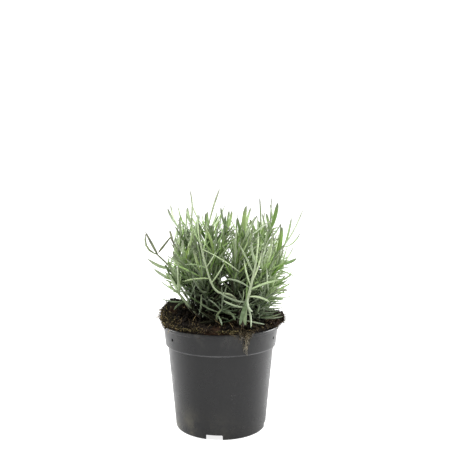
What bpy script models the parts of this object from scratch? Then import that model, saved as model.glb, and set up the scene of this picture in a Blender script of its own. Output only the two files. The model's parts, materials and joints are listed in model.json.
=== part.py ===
"""A young Hidcote lavender in its round plastic nursery pot, at its real size.

The pot stands on the floor at z = 0 with its axis on the Z axis, and -Y is the front.
The peat root ball fills the pot and swells over its rim. Each leafy stem is one solid:
a woody shoot that stands in a plain hole in the peat, with its narrow leaves grown on it.
"""

import math
import random

import bmesh
import bpy
import numpy as np
from mathutils import Matrix, Vector, noise

MM = 0.001

# The pot, a 10.5 cm nursery pot
RIM_RADIUS = 52.5 * MM
POT_HEIGHT = 92.4 * MM
SHOULDER_HEIGHT = 73.8 * MM
SHOULDER_RADIUS = 47.2 * MM
COLLAR_RADIUS = 49.2 * MM
BASE_RADIUS = 40.0 * MM
WALL = 1.2 * MM
RIM_LIP = 2.4 * MM
RIM_OVERHANG = 1.1 * MM
SHOULDER_STEP = 0.4 * MM
SHOULDER_STEP_INSIDE = 1.4 * MM
FLOOR_HEIGHT = 5.0 * MM
POT_SIDES = 40
NOTCH_WIDTH = 14.3 * MM
NOTCH_HEIGHT = 4.4 * MM
NOTCH_DEPTH = 12.0 * MM
NOTCH_COUNT = 4
FIRST_NOTCH = -8.0
DRAIN_RADIUS = 3.6 * MM
DRAIN_RING = 25.0 * MM
DRAIN_COUNT = 6
HANGER_HOLE_RADIUS = 1.3 * MM
HANGER_HOLE_HEIGHT = 83.0 * MM
HANGER_HOLE_ANGLES = (-55.0, 65.0)
ROUND_HOLE_SIDES = 8

# The peat root ball
GAP = 0.35 * MM
PEAT_SIDES = 36
# How far its edge is from the axis, then how far it stands out further: by how many millimetres,
# at which azimuth and over how many degrees to each side.
PEAT_EDGE = 48.6
PEAT_OVERHANGS = [(4.6, -82, 66), (7.4, 86, 52), (5.0, 180, 60)]
# How far it rises above the rim everywhere, then its mounds: height, x, y and spread, in millimetres.
PEAT_RISE = 2.4
PEAT_MOUNDS = [(15.0, -40, 8, 13), (5.5, 47, 5, 15), (5.0, 0, 0, 25)]
PEAT_EDGE_FOOT = 1.2 * MM
PEAT_ROUGHNESS = 1.6 * MM
PEAT_EDGE_ROUGHNESS = 1.2 * MM
HOLE_DEPTH = 9.0 * MM
HOLE_GAP = 0.4 * MM
ROOT_RISE = 1.6 * MM

# The leafy stems
STEM_BASE_RADIUS = 1.25 * MM
STEM_TIP_RADIUS = 0.75 * MM
STEM_RINGS = 7
LEAF_WIDTH = 1.6 * MM
LEAF_THICKNESS = 1.0 * MM
LEAF_LENGTH = 34.0 * MM
PAIR_SPACING = 7.4 * MM
# The bush they fill: its middle in x, how wide, deep and high it is, and how uneven its top is. The
# leaves stay out of an opening over the peat at its left, and out of a window that shows daylight
# right through the bush: its place in x and z, its half width and half height, and how much lower
# it lies for every millimetre towards the back.
BUSH_MIDDLE = 6.0 * MM
BUSH_HALF_WIDTH = 47.0 * MM
BUSH_HALF_DEPTH = 45.0 * MM
BUSH_WAIST = 10.0 * MM
BUSH_WAIST_HEIGHT = 136.0 * MM
BUSH_WAIST_SPREAD = 22.0 * MM
BUSH_HEIGHT = 192.0 * MM
BUSH_RAGGEDNESS = 16.0 * MM
RAGGED_SPAN = 7.0 * MM
OPEN_LEFT_OF = -29.0 * MM
OPEN_BELOW = 122.0 * MM
WINDOW = (2.5 * MM, 131.0 * MM)
WINDOW_HALF_SIZE = (2.4 * MM, 1.3 * MM)
WINDOW_FALL = 0.16
PEAT_CLEARANCE = 2.4 * MM
LEAF_SEED = 1912
# How far the leaves given below are turned out of the plane of their stem, in degrees, and how far
# those are that are at least so many millimetres wide.
SHOWN_LEAF_TURN = 50.0
BROAD_LEAF = 3.0
BROAD_LEAF_TURN = 8.0

# The stems and leaves that stand out in front, in millimetres, with the front at -Y. A stem is its
# root's x and y, then the points it passes through up to its tip. Each of its leaves is the share
# of the stem it grows at, its tip, how far its middle bows off a straight line in x and in z,
# and its width. More leaves are then grown on it by rule.
SHOWN_STEMS = [
    # the two bare twigs at the left
    ([(-19, 4), (-29, 9, 116), (-39, 11, 130), (-47, 12, 141), (-58, 12, 152)], [
        (1.0, (-67.5, 12, 172), (-4.5, -3), 2.2), (0.98, (-68.5, 14, 172), (0, 0), 2.2),
        (0.72, (-66, 9, 148), (1, -3), 2.8), (0.55, (-63, 15, 140), (1, -4), 3.0),
        (0.5, (-60, 7, 139), (2, -4), 2.4)]),
    ([(-14, 9), (-20, 5, 112), (-29, 5, 132), (-39, 5, 156), (-45, 5, 168)], [
        (1.0, (-56, 4, 154), (0, 0), 2.0), (0.9, (-46, 8, 174), (0, 0), 1.8)]),
    # the upright shoots along the top, from left to right
    ([(-12, 0), (-18, 1, 125), (-29, 2, 155), (-37, 2, 177)], [
        (1.0, (-47, 0, 194), (-0.5, -1.5), 2.0), (0.97, (-45, 8, 197), (-1, -2), 2.0),
        (0.96, (-38, -3, 196), (1.5, 0), 2.2)]),
    ([(-7, -6), (-11, -7, 125), (-20, -7, 155), (-26, -5, 183)], [
        (1.0, (-27, -2, 210), (1.5, 0), 1.5), (0.97, (-29, -9, 195), (-1, 0), 2.3),
        (0.88, (-20, -3, 189), (1, 0), 2.0)]),
    ([(-4, 5), (-5, 6, 130), (-8, 6, 158), (-11, 6, 178)], [
        (1.0, (-1, 8, 211), (-0.8, 0), 1.5), (0.97, (-12, 3, 191), (-0.5, 0), 2.2),
        (0.9, (-3, 2, 191), (0.5, 0), 2.0)]),
    ([(2, -3), (-2, -3, 124), (0, -4, 145), (4, -4, 177)], [
        (1.0, (0, -6, 195), (-0.5, 0), 2.0), (0.97, (7, -8, 192), (0.5, 0), 2.0),
        (0.93, (10, 2, 192), (1, 0), 2.2), (0.9, (4, -10, 188), (0, 0), 2.4)]),
    ([(5, -13), (10, -12, 126), (17, -12, 153), (20, -15, 171)], [
        (1.0, (22, -17, 197), (-1, 0), 3.4), (0.97, (26, -12, 195), (-0.5, 0), 2.4),
        (0.92, (14, -18, 187), (-0.5, 0), 2.6)]),
    ([(9, 4), (15, 6, 125), (29, 8, 152), (36, 9, 170)], [
        (1.0, (35, 10, 203), (0.5, 0), 1.4), (0.93, (26, 5, 184), (-0.5, 0), 2.4),
        (0.9, (33, 14, 186), (0, 0), 2.0)]),
    ([(13, -3), (22, -4, 125), (38, -4, 156), (44, -4, 176)], [
        (1.0, (50, -5, 199), (0.5, -1), 3.0), (0.96, (45, 0, 203), (0, 0), 1.4),
        (0.97, (40, -8, 190), (0, -0.5), 2.2)]),
    ([(17, 3), (28, 2, 122), (45, -2, 147), (57, -4, 163)], [
        (1.0, (71.5, -9, 193), (1, -1), 2.0), (0.98, (62, -6, 186), (0.5, -1), 1.8),
        (0.85, (54, -6, 178), (0.5, -1), 2.4), (0.88, (62, 8, 175), (1, -2), 2.0),
        (0.93, (69, -12, 173), (1, -3), 1.8)]),
    ([(19, -9), (29, -10, 118), (42, -12, 134), (53, -12, 146)], [
        (1.0, (66, -13, 151), (0, -1), 2.8), (0.95, (58, -9, 161), (0.5, -1), 2.4),
        (0.68, (62, -16, 141), (2.5, -5), 2.8), (0.85, (64, -4, 160), (1, -2), 2.0)]),
    ([(23, -15), (31, -17, 111), (42, -20, 124)], [
        (1.0, (58, -18, 124), (0, 0.5), 2.2), (0.95, (53, -26, 132), (0, -0.5), 2.2),
        (0.8, (54, -22, 117), (0, 0), 2.2), (0.6, (49, -10, 112), (0, 1), 2.0)]),
    # the pale stem that bends to the left and up in front, forked twice
    ([(15, -32), (16, -35, 112), (9, -38, 123), (-2, -39, 126), (-8, -38, 134), (-13, -37, 150),
      (-18, -34, 170)], [
        (1.0, (-19, -33, 190), (-0.5, 0), 1.6), (0.97, (-25, -36, 184), (-0.5, 0), 1.6),
        (0.8, (-4, -42, 161), (1, 0), 1.7), (0.79, (-30, -40, 149), (0, 1.5), 1.7),
        (0.7, (-30, -43, 136), (0, 1), 1.7), (0.66, (3, -42, 151), (0.5, -0.5), 1.7),
        (0.9, (-12, -28, 184), (1, 0), 1.7), (0.93, (16, -43, 143), (0, 1.5), 1.6)]),
    # the large pale shoot at the front right, with its whorl of leaves
    ([(18, -40), (20, -42, 110), (24, -44, 129), (27, -44, 142), (29, -43, 153)], [
        (1.0, (31, -42, 176), (0.5, 0), 2.0), (0.94, (25, -47, 169), (-1, 0), 1.9),
        (0.52, (5, -46, 138), (0, 2), 1.8), (0.5, (48, -44, 137), (0, 1), 1.8),
        (0.42, (40, -46, 119), (0, 2), 1.8), (0.36, (-1, -47, 127), (0, -2), 1.9),
        (0.3, (2, -49, 121), (0, -1.5), 1.9), (0.42, (26, -51, 112), (-2, -1.5), 1.8),
        (0.38, (15.5, -50, 101), (0, 1.5), 3.6), (0.36, (20, -51, 101), (-1, 0.5), 3.2),
        (0.32, (24.5, -50, 99), (1.5, 1.5), 1.5),
        (0.62, (34, -44, 162), (1, -1), 1.9), (0.55, (19, -41, 155), (-1, 0), 2.0),
        (0.75, (14, -46, 168), (0.5, 0), 1.6)]),
    # low shoots that lie over the peat
    ([(-3, -33), (-3, -36, 106), (1, -39, 112)], [
        (1.0, (12, -47, 104), (1, 2), 1.8), (0.9, (13, -42, 108), (0, -1), 1.7),
        (0.5, (1, -48, 100), (0.5, 1), 1.9), (0.75, (-17, -44, 118), (0, -1.5), 1.7)]),
    ([(-24, -10), (-31, -11, 112), (-37, -12, 120)], [
        (0.6, (-54, -9, 116), (1, -2.5), 2.4), (1.0, (-47, -4, 127), (0, -1), 2.0),
        (0.9, (-36, -22, 136), (-1, 0), 2.4), (0.5, (-40, -22, 108), (0, 2), 2.2)]),
]

# The other stems, in millimetres: the growing tip's x, y and z, the root's x and y, and how far
# the tip leans from upright, in degrees.
FILLING_STEMS = [
    (-29, 26, 164, -11, 14, 16),
    (-8, 24, 168, -3, 13, 8),
    (16, 27, 166, 9, 14, 10),
    (34, 26, 160, 14, 12, 18),
    (-43, 18, 152, -19, 13, 28),
    (50, 18, 148, 22, 9, 32),
    (-5, 40, 148, -4, 21, 26),
    (29, 41, 136, 12, 20, 36),
    (-27, 41, 138, -10, 22, 34),
    (48, 32, 122, 22, 18, 52),
    (-30, -18, 150, -15, -8, 16),
    (-6, -18, 156, -3, -14, 6),
    (36, -22, 142, 13, -16, 20),
    (-36, -27, 124, -17, -20, 40),
    (-16, -27, 138, -9, -22, 20),
    (14, -22, 150, 11, -21, 8),
    (42, -27, 122, 27, -23, 46),
    (-46, 2, 132, -26, 3, 50),
]
# The share of a stem above which only the leaves given for it grow, for the two in front.
BARE_ABOVE = {13: 0.2, 14: 0.22}


def clear_scene():
    for thing in list(bpy.data.objects):
        bpy.data.objects.remove(thing)


def make_collection(name):
    found = bpy.data.collections.new(name)
    bpy.context.scene.collection.children.link(found)
    return found


def make_material(name, colour, roughness):
    material = bpy.data.materials.new(name)
    material.use_nodes = True
    shader = material.node_tree.nodes["Principled BSDF"]
    shader.inputs["Base Color"].default_value = (*colour, 1.0)
    shader.inputs["Roughness"].default_value = roughness
    shader.inputs["Metallic"].default_value = 0.0
    return material


def add_object(name, mesh, collection, material=None):
    thing = bpy.data.objects.new(name, mesh)
    collection.objects.link(thing)
    if material:
        mesh.materials.append(material)
    return thing


def as_cutter(thing):
    thing.hide_render = True
    thing.display_type = "WIRE"
    return thing


def smooth(mesh, angle=math.radians(40)):
    mesh.shade_smooth()
    mesh.set_sharp_from_angle(angle=angle)


def compass(azimuth, radius, height):
    """The point at this azimuth in degrees, 0 at the front and 90 at +X, at a radius and height."""
    a = math.radians(azimuth)
    return Vector((radius * math.sin(a), -radius * math.cos(a), height))


def pot_outside(height):
    """The outer radius of the pot's wall at a height."""
    if height < SHOULDER_HEIGHT:
        return BASE_RADIUS + (SHOULDER_RADIUS - BASE_RADIUS) * height / SHOULDER_HEIGHT
    rise = (height - SHOULDER_HEIGHT) / (POT_HEIGHT - SHOULDER_HEIGHT)
    return COLLAR_RADIUS + (RIM_RADIUS - RIM_OVERHANG - COLLAR_RADIUS) * rise


def pot_profile():
    """Half of the pot's section, from the axis on top of its floor round to the axis below it."""
    floor_top = FLOOR_HEIGHT + WALL
    inside = [
        (0.0, floor_top),
        (pot_outside(floor_top) - WALL, floor_top),
        (SHOULDER_RADIUS - WALL, SHOULDER_HEIGHT + SHOULDER_STEP),
        (COLLAR_RADIUS - WALL, SHOULDER_HEIGHT + SHOULDER_STEP_INSIDE),
        (pot_outside(POT_HEIGHT) - WALL, POT_HEIGHT),
    ]
    outside = [
        (RIM_RADIUS - 0.5 * MM, POT_HEIGHT),
        (RIM_RADIUS, POT_HEIGHT - 0.6 * MM),
        (RIM_RADIUS, POT_HEIGHT - RIM_LIP),
        (pot_outside(POT_HEIGHT - RIM_LIP) + 0.1 * MM, POT_HEIGHT - RIM_LIP - 0.8 * MM),
        (COLLAR_RADIUS, SHOULDER_HEIGHT + 0.5 * MM),
        (COLLAR_RADIUS - 0.5 * MM, SHOULDER_HEIGHT),
        (SHOULDER_RADIUS, SHOULDER_HEIGHT - SHOULDER_STEP),
        (BASE_RADIUS + 0.15 * MM, 1.6 * MM),
        (BASE_RADIUS - 0.7 * MM, 0.0),
    ]
    under = [
        (BASE_RADIUS - 0.7 * MM - WALL, 0.0),
        (BASE_RADIUS - WALL, FLOOR_HEIGHT),
        (0.0, FLOOR_HEIGHT),
    ]
    return inside + outside + under


def make_pot(parts, cutters, plastic):
    """A thin moulded shell: a turned profile with drain notches in its foot, drain holes in its
    raised floor and two small holes for a hanger in its collar."""
    profile = pot_profile()
    mesh = bpy.data.meshes.new("pot")
    edges = [(i, i + 1) for i in range(len(profile) - 1)]
    mesh.from_pydata([(radius, 0.0, height) for radius, height in profile], edges, [])
    pot = add_object("pot", mesh, parts, plastic)
    turn = pot.modifiers.new("turn", "SCREW")
    turn.steps = turn.render_steps = POT_SIDES
    turn.use_merge_vertices = True
    turn.merge_threshold = 0.00005
    turn.use_smooth_shade = True
    for number in range(NOTCH_COUNT):
        azimuth = FIRST_NOTCH + 360.0 / NOTCH_COUNT * number
        size = (NOTCH_WIDTH, NOTCH_DEPTH, 2 * NOTCH_HEIGHT)
        cut_box(f"notch_{number}", size, compass(azimuth, BASE_RADIUS - 2 * MM, 0.0), azimuth, cutters)
    upright = Matrix.Identity(4)
    for number in range(DRAIN_COUNT):
        place = compass(360.0 / DRAIN_COUNT * (number + 0.5), DRAIN_RING, FLOOR_HEIGHT)
        cut_round(f"drain_{number}", DRAIN_RADIUS, 8 * MM, place, upright, cutters, ROUND_HOLE_SIDES)
    middle = Vector((0, 0, FLOOR_HEIGHT))
    cut_round("drain_middle", DRAIN_RADIUS, 8 * MM, middle, upright, cutters, ROUND_HOLE_SIDES)
    for number, azimuth in enumerate(HANGER_HOLE_ANGLES):
        place = compass(azimuth, pot_outside(HANGER_HOLE_HEIGHT), HANGER_HOLE_HEIGHT)
        lie = Matrix.Rotation(math.radians(azimuth), 4, "Z") @ Matrix.Rotation(math.radians(90), 4, "X")
        cut_round(f"hanger_hole_{number}", HANGER_HOLE_RADIUS, 6 * MM, place, lie, cutters, ROUND_HOLE_SIDES)
    cut = pot.modifiers.new("cut", "BOOLEAN")
    cut.operation = "DIFFERENCE"
    cut.operand_type = "COLLECTION"
    cut.collection = cutters
    cut.solver = "EXACT"


def cut_box(name, size, place, azimuth, cutters):
    mesh = bpy.data.meshes.new(name)
    shape = bmesh.new()
    bmesh.ops.create_cube(shape, size=1.0, matrix=Matrix.Diagonal((*size, 1.0)))
    shape.to_mesh(mesh)
    shape.free()
    cutter = as_cutter(add_object(name, mesh, cutters))
    cutter.matrix_world = Matrix.Translation(place) @ Matrix.Rotation(math.radians(azimuth), 4, "Z")


def cut_round(name, radius, depth, place, lie, cutters, sides):
    mesh = bpy.data.meshes.new(name)
    shape = bmesh.new()
    bmesh.ops.create_cone(shape, cap_ends=True, segments=sides, radius1=radius, radius2=radius, depth=depth)
    shape.to_mesh(mesh)
    shape.free()
    cutter = as_cutter(add_object(name, mesh, cutters))
    cutter.matrix_world = Matrix.Translation(place) @ lie


def lobe(azimuth, centre, half_width):
    """1 at a centre azimuth, falling smoothly to 0 at half_width degrees from it."""
    away = abs((azimuth - centre + 180.0) % 360.0 - 180.0)
    return 0.0 if away > half_width else 0.5 + 0.5 * math.cos(math.pi * away / half_width)


def peat_edge_radius(azimuth):
    """How far the peat's edge reaches from the axis: over the rim at the left, right and back."""
    overhang = sum(reach * lobe(azimuth, centre, half) for reach, centre, half in PEAT_OVERHANGS)
    return (PEAT_EDGE + overhang) * MM + PEAT_EDGE_ROUGHNESS * noise.noise(compass(azimuth, 3.2, 0.5))


def peat_top(x, y):
    """The height of the peat's surface at a place, all of it above the rim."""
    rise = PEAT_RISE
    for height, mound_x, mound_y, spread in PEAT_MOUNDS:
        away = math.hypot(x / MM - mound_x, y / MM - mound_y)
        rise += height * math.exp(-0.5 * (away / spread) ** 2)
    clods = noise.fractal(Vector((x, y, 0)) / (9 * MM), 0.9, 2.0, 3)
    return POT_HEIGHT + rise * MM + PEAT_ROUGHNESS * clods


def peat_rings():
    """The root ball's rings from its foot up, each as a function from azimuth to radius and height."""
    foot = FLOOR_HEIGHT + WALL + GAP
    neck = pot_outside(POT_HEIGHT) - WALL - GAP

    def crown(share, lift):
        def place(azimuth):
            radius = share * peat_edge_radius(azimuth)
            out = compass(azimuth, radius, 0.0)
            return radius, peat_top(out.x, out.y) * lift + (1 - lift) * (POT_HEIGHT + PEAT_EDGE_FOOT)

        return place

    return [
        lambda azimuth: (pot_outside(foot) - WALL - GAP, foot),
        lambda azimuth: (SHOULDER_RADIUS - WALL - GAP, SHOULDER_HEIGHT + SHOULDER_STEP + GAP),
        lambda azimuth: (COLLAR_RADIUS - WALL - GAP, SHOULDER_HEIGHT + SHOULDER_STEP_INSIDE + GAP),
        lambda azimuth: (neck, POT_HEIGHT + GAP),
        lambda azimuth: (max(neck, peat_edge_radius(azimuth) - 1.6 * MM), POT_HEIGHT + 2 * GAP),
        crown(1.0, 0.4),
        crown(0.98, 0.8),
        crown(0.9, 1.0),
        crown(0.7, 1.0),
        crown(0.48, 1.0),
        crown(0.24, 1.0),
    ]


def make_peat(parts, holes, peat):
    """The root ball: rings lofted from the pot's floor up and over its rim to the clods on top,
    with a plain hole for each stem."""
    shape = bmesh.new()
    rings = []
    for ring in peat_rings():
        verts = []
        for side in range(PEAT_SIDES):
            azimuth = 360.0 * side / PEAT_SIDES
            radius, height = ring(azimuth)
            verts.append(shape.verts.new(compass(azimuth, radius, height)))
        rings.append(verts)
    for low, high in zip(rings, rings[1:]):
        bridge(shape, low, high)
    close_fan(shape, rings[0], Vector((0, 0, rings[0][0].co.z)), True)
    close_fan(shape, rings[-1], Vector((0, 0, peat_top(0.0, 0.0))), False)
    mesh = bpy.data.meshes.new("root_ball")
    shape.to_mesh(mesh)
    shape.free()
    smooth(mesh)
    ball = add_object("root_ball", mesh, parts, peat)
    cut = ball.modifiers.new("stem holes", "BOOLEAN")
    cut.operation = "DIFFERENCE"
    cut.operand_type = "COLLECTION"
    cut.collection = holes
    cut.solver = "EXACT"


def bridge(shape, low, high):
    """Two triangles for each side between two rings, split alike all the way round."""
    count = len(low)
    for i in range(count):
        j = (i + 1) % count
        shape.faces.new((low[i], low[j], high[j]))
        shape.faces.new((low[i], high[j], high[i]))


def close_fan(shape, ring, centre, downward):
    middle = shape.verts.new(centre)
    count = len(ring)
    for i in range(count):
        j = (i + 1) % count
        shape.faces.new((ring[j], ring[i], middle) if downward else (ring[i], ring[j], middle))


class Stem:
    """One leafy stem's centreline: a smooth curve through its knots from its root to its tip,
    taken as straight pieces between the tube's rings."""

    def __init__(self, knots):
        x, y = knots[0][0] * MM, knots[0][1] * MM
        self.root = Vector((x, y, peat_top(x, y) + ROOT_RISE))
        self.knots = [self.root] + [Vector(knot) * MM for knot in knots[1:]]
        self.rings = [self.curve(i / (STEM_RINGS - 1)) for i in range(STEM_RINGS)]
        self.length = sum((high - low).length for low, high in zip(self.rings, self.rings[1:]))

    def span(self, t):
        """The four knots round a place and how far it lies between the middle two."""
        spans = len(self.knots) - 1
        place = min(max(t, 0.0), 0.99999) * spans
        i = int(place)
        first = 2 * self.knots[0] - self.knots[1]
        last = 2 * self.knots[-1] - self.knots[-2]
        row = [first] + self.knots + [last]
        return row[i : i + 4], place - i

    def curve(self, t):
        (a, b, c, d), u = self.span(t)
        rise, bend, turn = c - a, 2 * a - 5 * b + 4 * c - d, 3 * b - a - 3 * c + d
        return 0.5 * (2 * b + rise * u + bend * u**2 + turn * u**3)

    def way(self, t):
        (a, b, c, d), u = self.span(t)
        rise, bend, turn = c - a, 2 * a - 5 * b + 4 * c - d, 3 * b - a - 3 * c + d
        return (rise + bend * 2 * u + turn * 3 * u**2).normalized()

    def at(self, t):
        place = t * (STEM_RINGS - 1)
        i = min(int(place), STEM_RINGS - 2)
        return self.rings[i].lerp(self.rings[i + 1], place - i)

    def radius(self, t):
        return STEM_BASE_RADIUS + (STEM_TIP_RADIUS - STEM_BASE_RADIUS) * t

    def centreline(self):
        """The tube's points and radii, from the foot of its hole to its tip."""
        foot = self.root - Vector((0, 0, HOLE_DEPTH + ROOT_RISE - HOLE_GAP))
        radii = [self.radius(i / (STEM_RINGS - 1)) for i in range(STEM_RINGS)]
        return [foot] + self.rings, [STEM_BASE_RADIUS] + radii


def filling_stem(tip_x, tip_y, tip_z, root_x, root_y, lean):
    """A stem that leaves its root near upright and leans more and more on the way to its tip."""
    outward = Vector((tip_x, tip_y, 0)).normalized()
    lean = math.radians(lean)
    tip = Vector((tip_x, tip_y, tip_z))
    root = Vector((root_x, root_y, peat_top(root_x * MM, root_y * MM) / MM))
    reach = (tip - root).length / 3
    upper = tip - (outward * math.sin(lean) + Vector((0, 0, math.cos(lean)))) * reach
    lower = root + (upper - root) * 0.5 + Vector((0, 0, 0.06 * reach))
    return Stem([(root_x, root_y), tuple(lower), tuple(upper), tuple(tip)])


class Leaf:
    """One narrow leaf's midline, an even curve from inside the stem out to its tip, and its width."""

    def __init__(self, start, way, curl, length, width, side):
        self.start, self.way, self.curl = start, way, curl
        self.length, self.width, self.side = length, width, side

    def at(self, t):
        return self.start + (self.way * t + self.curl * t * t) * self.length

    def frame(self, t):
        """Along, across and upper-face directions at a place on the leaf."""
        along = (self.way + self.curl * 2 * t).normalized()
        across = (self.side - along * self.side.dot(along)).normalized()
        return along, across, across.cross(along).normalized()


def shown_leaf(stem, share, tip, bow, width):
    """A leaf given by the place on the stem that it grows from, its tip and its bow."""
    start = stem.at(share)
    chord = Vector(tip) * MM - start
    curl = Vector((bow[0], 0, bow[1])) * MM * -4 / chord.length
    side = stem.way(share).cross(chord)
    if side.length < 0.3 * chord.length:
        side = stem.way(share).cross(Vector((0, -1, 0)))
    turn = SHOWN_LEAF_TURN if width < BROAD_LEAF else BROAD_LEAF_TURN
    side = Matrix.Rotation(math.radians(turn), 3, chord) @ side.normalized()
    return Leaf(start, chord / chord.length - curl, curl, chord.length, width * MM, side)


def sample(curve, length):
    count = max(6, int(length / (1.5 * MM)))
    return np.array([curve(i / (count - 1)) for i in range(count)])


def too_near(points, others, clearance):
    if not len(others):
        return False
    low, high = points.min(0) - clearance, points.max(0) + clearance
    near = others[np.all((others > low) & (others < high), axis=1)]
    if not len(near):
        return False
    apart = np.linalg.norm(points[:, None, :] - near[None, :, :], axis=2)
    return bool(apart.min() < clearance)


def outside_bush(points):
    """Whether a leaf would stand out of the bush, which is widest low down, has a ragged top,
    leaves the mound of peat at its left open and has a small window right through its middle."""
    wider = BUSH_WAIST * np.exp(-(((points[:, 2] - BUSH_WAIST_HEIGHT) / BUSH_WAIST_SPREAD) ** 2))
    wide = np.any(np.abs(points[:, 0] - BUSH_MIDDLE) > BUSH_HALF_WIDTH + wider)
    deep = np.any(np.abs(points[:, 1]) > BUSH_HALF_DEPTH + wider)
    ragged = BUSH_RAGGEDNESS * noise.noise(Vector((points[-1][0], points[-1][1], 0)) / RAGGED_SPAN)
    in_opening = np.any((points[:, 0] < OPEN_LEFT_OF) & (points[:, 2] < OPEN_BELOW))
    aside = np.abs(points[:, 0] - WINDOW[0]) / WINDOW_HALF_SIZE[0]
    above = np.abs(points[:, 2] + WINDOW_FALL * points[:, 1] - WINDOW[1]) / WINDOW_HALF_SIZE[1]
    in_window = np.any((aside < 1.0) & (above < 1.0))
    return bool(wide or deep or in_opening or in_window or points[:, 2].max() > BUSH_HEIGHT + ragged)


def in_peat(points):
    return any(p[2] < peat_top(p[0], p[1]) + PEAT_CLEARANCE for p in points[len(points) // 4 :])


def try_leaf(stem, t, turn, attempt, draw):
    """A leaf at this share of the stem and turn round it. Later attempts bend it further aside."""
    stray = 10 + 6 * attempt
    way = stem.way(t)
    flat = way.cross(Vector((0, 0, 1)))
    flat = (flat if flat.length > 0.05 else way.cross(Vector((0, 1, 0)))).normalized()
    out = Matrix.Rotation(math.radians(turn + draw.uniform(-stray, stray)), 3, way) @ flat
    spread = math.radians(88 - 56 * t + draw.uniform(-16, 16 + 1.5 * attempt))
    lie = way * math.cos(spread) + out * math.sin(spread)
    inward = way * math.sin(spread) - out * math.cos(spread)
    sideways = way.cross(out)
    curl = inward * draw.uniform(-0.15, 0.55) + sideways * draw.uniform(-0.34, 0.34)
    curl += Vector((0, 0, 1)) * draw.uniform(-0.12, 0.16) * (1 - t)
    length = LEAF_LENGTH * draw.uniform(0.58, 1.15) * (0.85 + 0.17 * t) * 0.96**attempt
    width = LEAF_WIDTH * draw.uniform(0.85, 1.25)
    return Leaf(stem.at(t), lie, curl, length, width, sideways)


def grow_leaves(stems, shown):
    """The leaves of every stem. After the ones that are given come crossed pairs up the stem and a
    tuft at its tip. A leaf that would touch another stem or its leaves is bent aside, and left out
    if fourteen tries don't clear it."""
    draw = random.Random(LEAF_SEED)
    leaves = [[shown_leaf(stem, *row) for row in rows] for stem, rows in zip(stems, shown)]
    taken = [sample(stem.at, stem.length) for stem in stems]
    for number, given in enumerate(leaves):
        taken[number] = np.concatenate([taken[number]] + [sample(leaf.at, leaf.length) for leaf in given])
    clearance = 1.12 * LEAF_WIDTH + 0.35 * MM
    for number, stem in enumerate(stems):
        others = np.concatenate([taken[k] for k in range(len(stems)) if k != number])
        for t, turn in leaf_places(stem, number, bool(leaves[number])):
            own = [sample(leaf.at, leaf.length) for leaf in leaves[number]]
            outer = [points[len(points) // 3 :] for points in own]
            own = np.concatenate(outer) if outer else np.zeros((0, 3))
            for attempt in range(14):
                leaf = try_leaf(stem, t, turn, attempt, draw)
                points = sample(leaf.at, leaf.length)
                if outside_bush(points) or in_peat(points) or too_near(points, others, clearance):
                    continue
                if too_near(points[len(points) // 3 :], own, LEAF_WIDTH):
                    continue
                leaves[number].append(leaf)
                taken[number] = np.concatenate([taken[number], points])
                break
    return leaves


def leaf_places(stem, number, has_shown):
    """Where leaves grow on a stem, as shares of its length and turns round it in degrees."""
    top = BARE_ABOVE.get(number + 1, 0.87 if has_shown else 0.95)
    pairs = max(2, int(stem.length * top / PAIR_SPACING))
    places = []
    for pair in range(pairs):
        t = 0.12 + (top - 0.12) * (pair / (pairs - 1)) ** 1.1
        places += [(t, 90.0 * pair + 37.0 * number + half) for half in (0, 180)]
    if not has_shown:
        places += [(0.985, 90.0 * pairs + 37.0 * number + turn) for turn in (0, 120, 240)]
    return places


def leaf_mesh(name, leaf):
    """A three-sided blade: flat above and keeled below, narrow at its root, with a pointed tip.
    Its root is turned like its middle, so that the sides between them are flat."""
    shape = bmesh.new()
    rings = []
    stations = ((0.36, 1.0), (0.78, 0.86)) if leaf.curl.length > 0.36 else ((0.62, 1.0),)
    first = stations[0][0]
    for t, turned_as, share in [(0.0, first, 0.5)] + [(t, t, share) for t, share in stations]:
        along, across, upper = leaf.frame(turned_as)
        half = 0.5 * leaf.width * share
        lift = LEAF_THICKNESS * share**0.5
        middle = leaf.at(t)
        places = (
            middle + across * half + upper * 0.3 * lift,
            middle - across * half + upper * 0.3 * lift,
            middle - upper * 0.7 * lift,
        )
        rings.append([shape.verts.new(place) for place in places])
    for i in range(3):
        j = (i + 1) % 3
        shape.faces.new((rings[0][i], rings[0][j], rings[1][j], rings[1][i]))
    for low, high in zip(rings[1:], rings[2:]):
        bridge(shape, low, high)
    shape.faces.new(list(reversed(rings[0])))
    close_fan(shape, rings[-1], leaf.at(1.0), False)
    bmesh.ops.recalc_face_normals(shape, faces=shape.faces)
    mesh = bpy.data.meshes.new(name)
    shape.to_mesh(mesh)
    shape.free()
    return mesh


def tube_mesh(name, points, radii):
    """A square stem, as lavender's are, that tapers along its points, as a closed mesh."""
    curve = bpy.data.curves.new(name, "CURVE")
    curve.dimensions = "3D"
    curve.bevel_depth = 1.0
    curve.bevel_resolution = 0
    curve.use_fill_caps = True
    spline = curve.splines.new("POLY")
    spline.points.add(len(points) - 1)
    for knot, place, radius in zip(spline.points, points, radii):
        knot.co = (*place, 1.0)
        knot.radius = radius
    thing = bpy.data.objects.new(name, curve)
    bpy.context.scene.collection.objects.link(thing)
    bpy.context.view_layer.update()
    mesh = bpy.data.meshes.new_from_object(thing.evaluated_get(bpy.context.evaluated_depsgraph_get()))
    bpy.data.objects.remove(thing)
    shape = bmesh.new()
    shape.from_mesh(mesh)
    bmesh.ops.remove_doubles(shape, verts=shape.verts, dist=0.00002)
    shape.to_mesh(mesh)
    shape.free()
    return mesh


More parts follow.
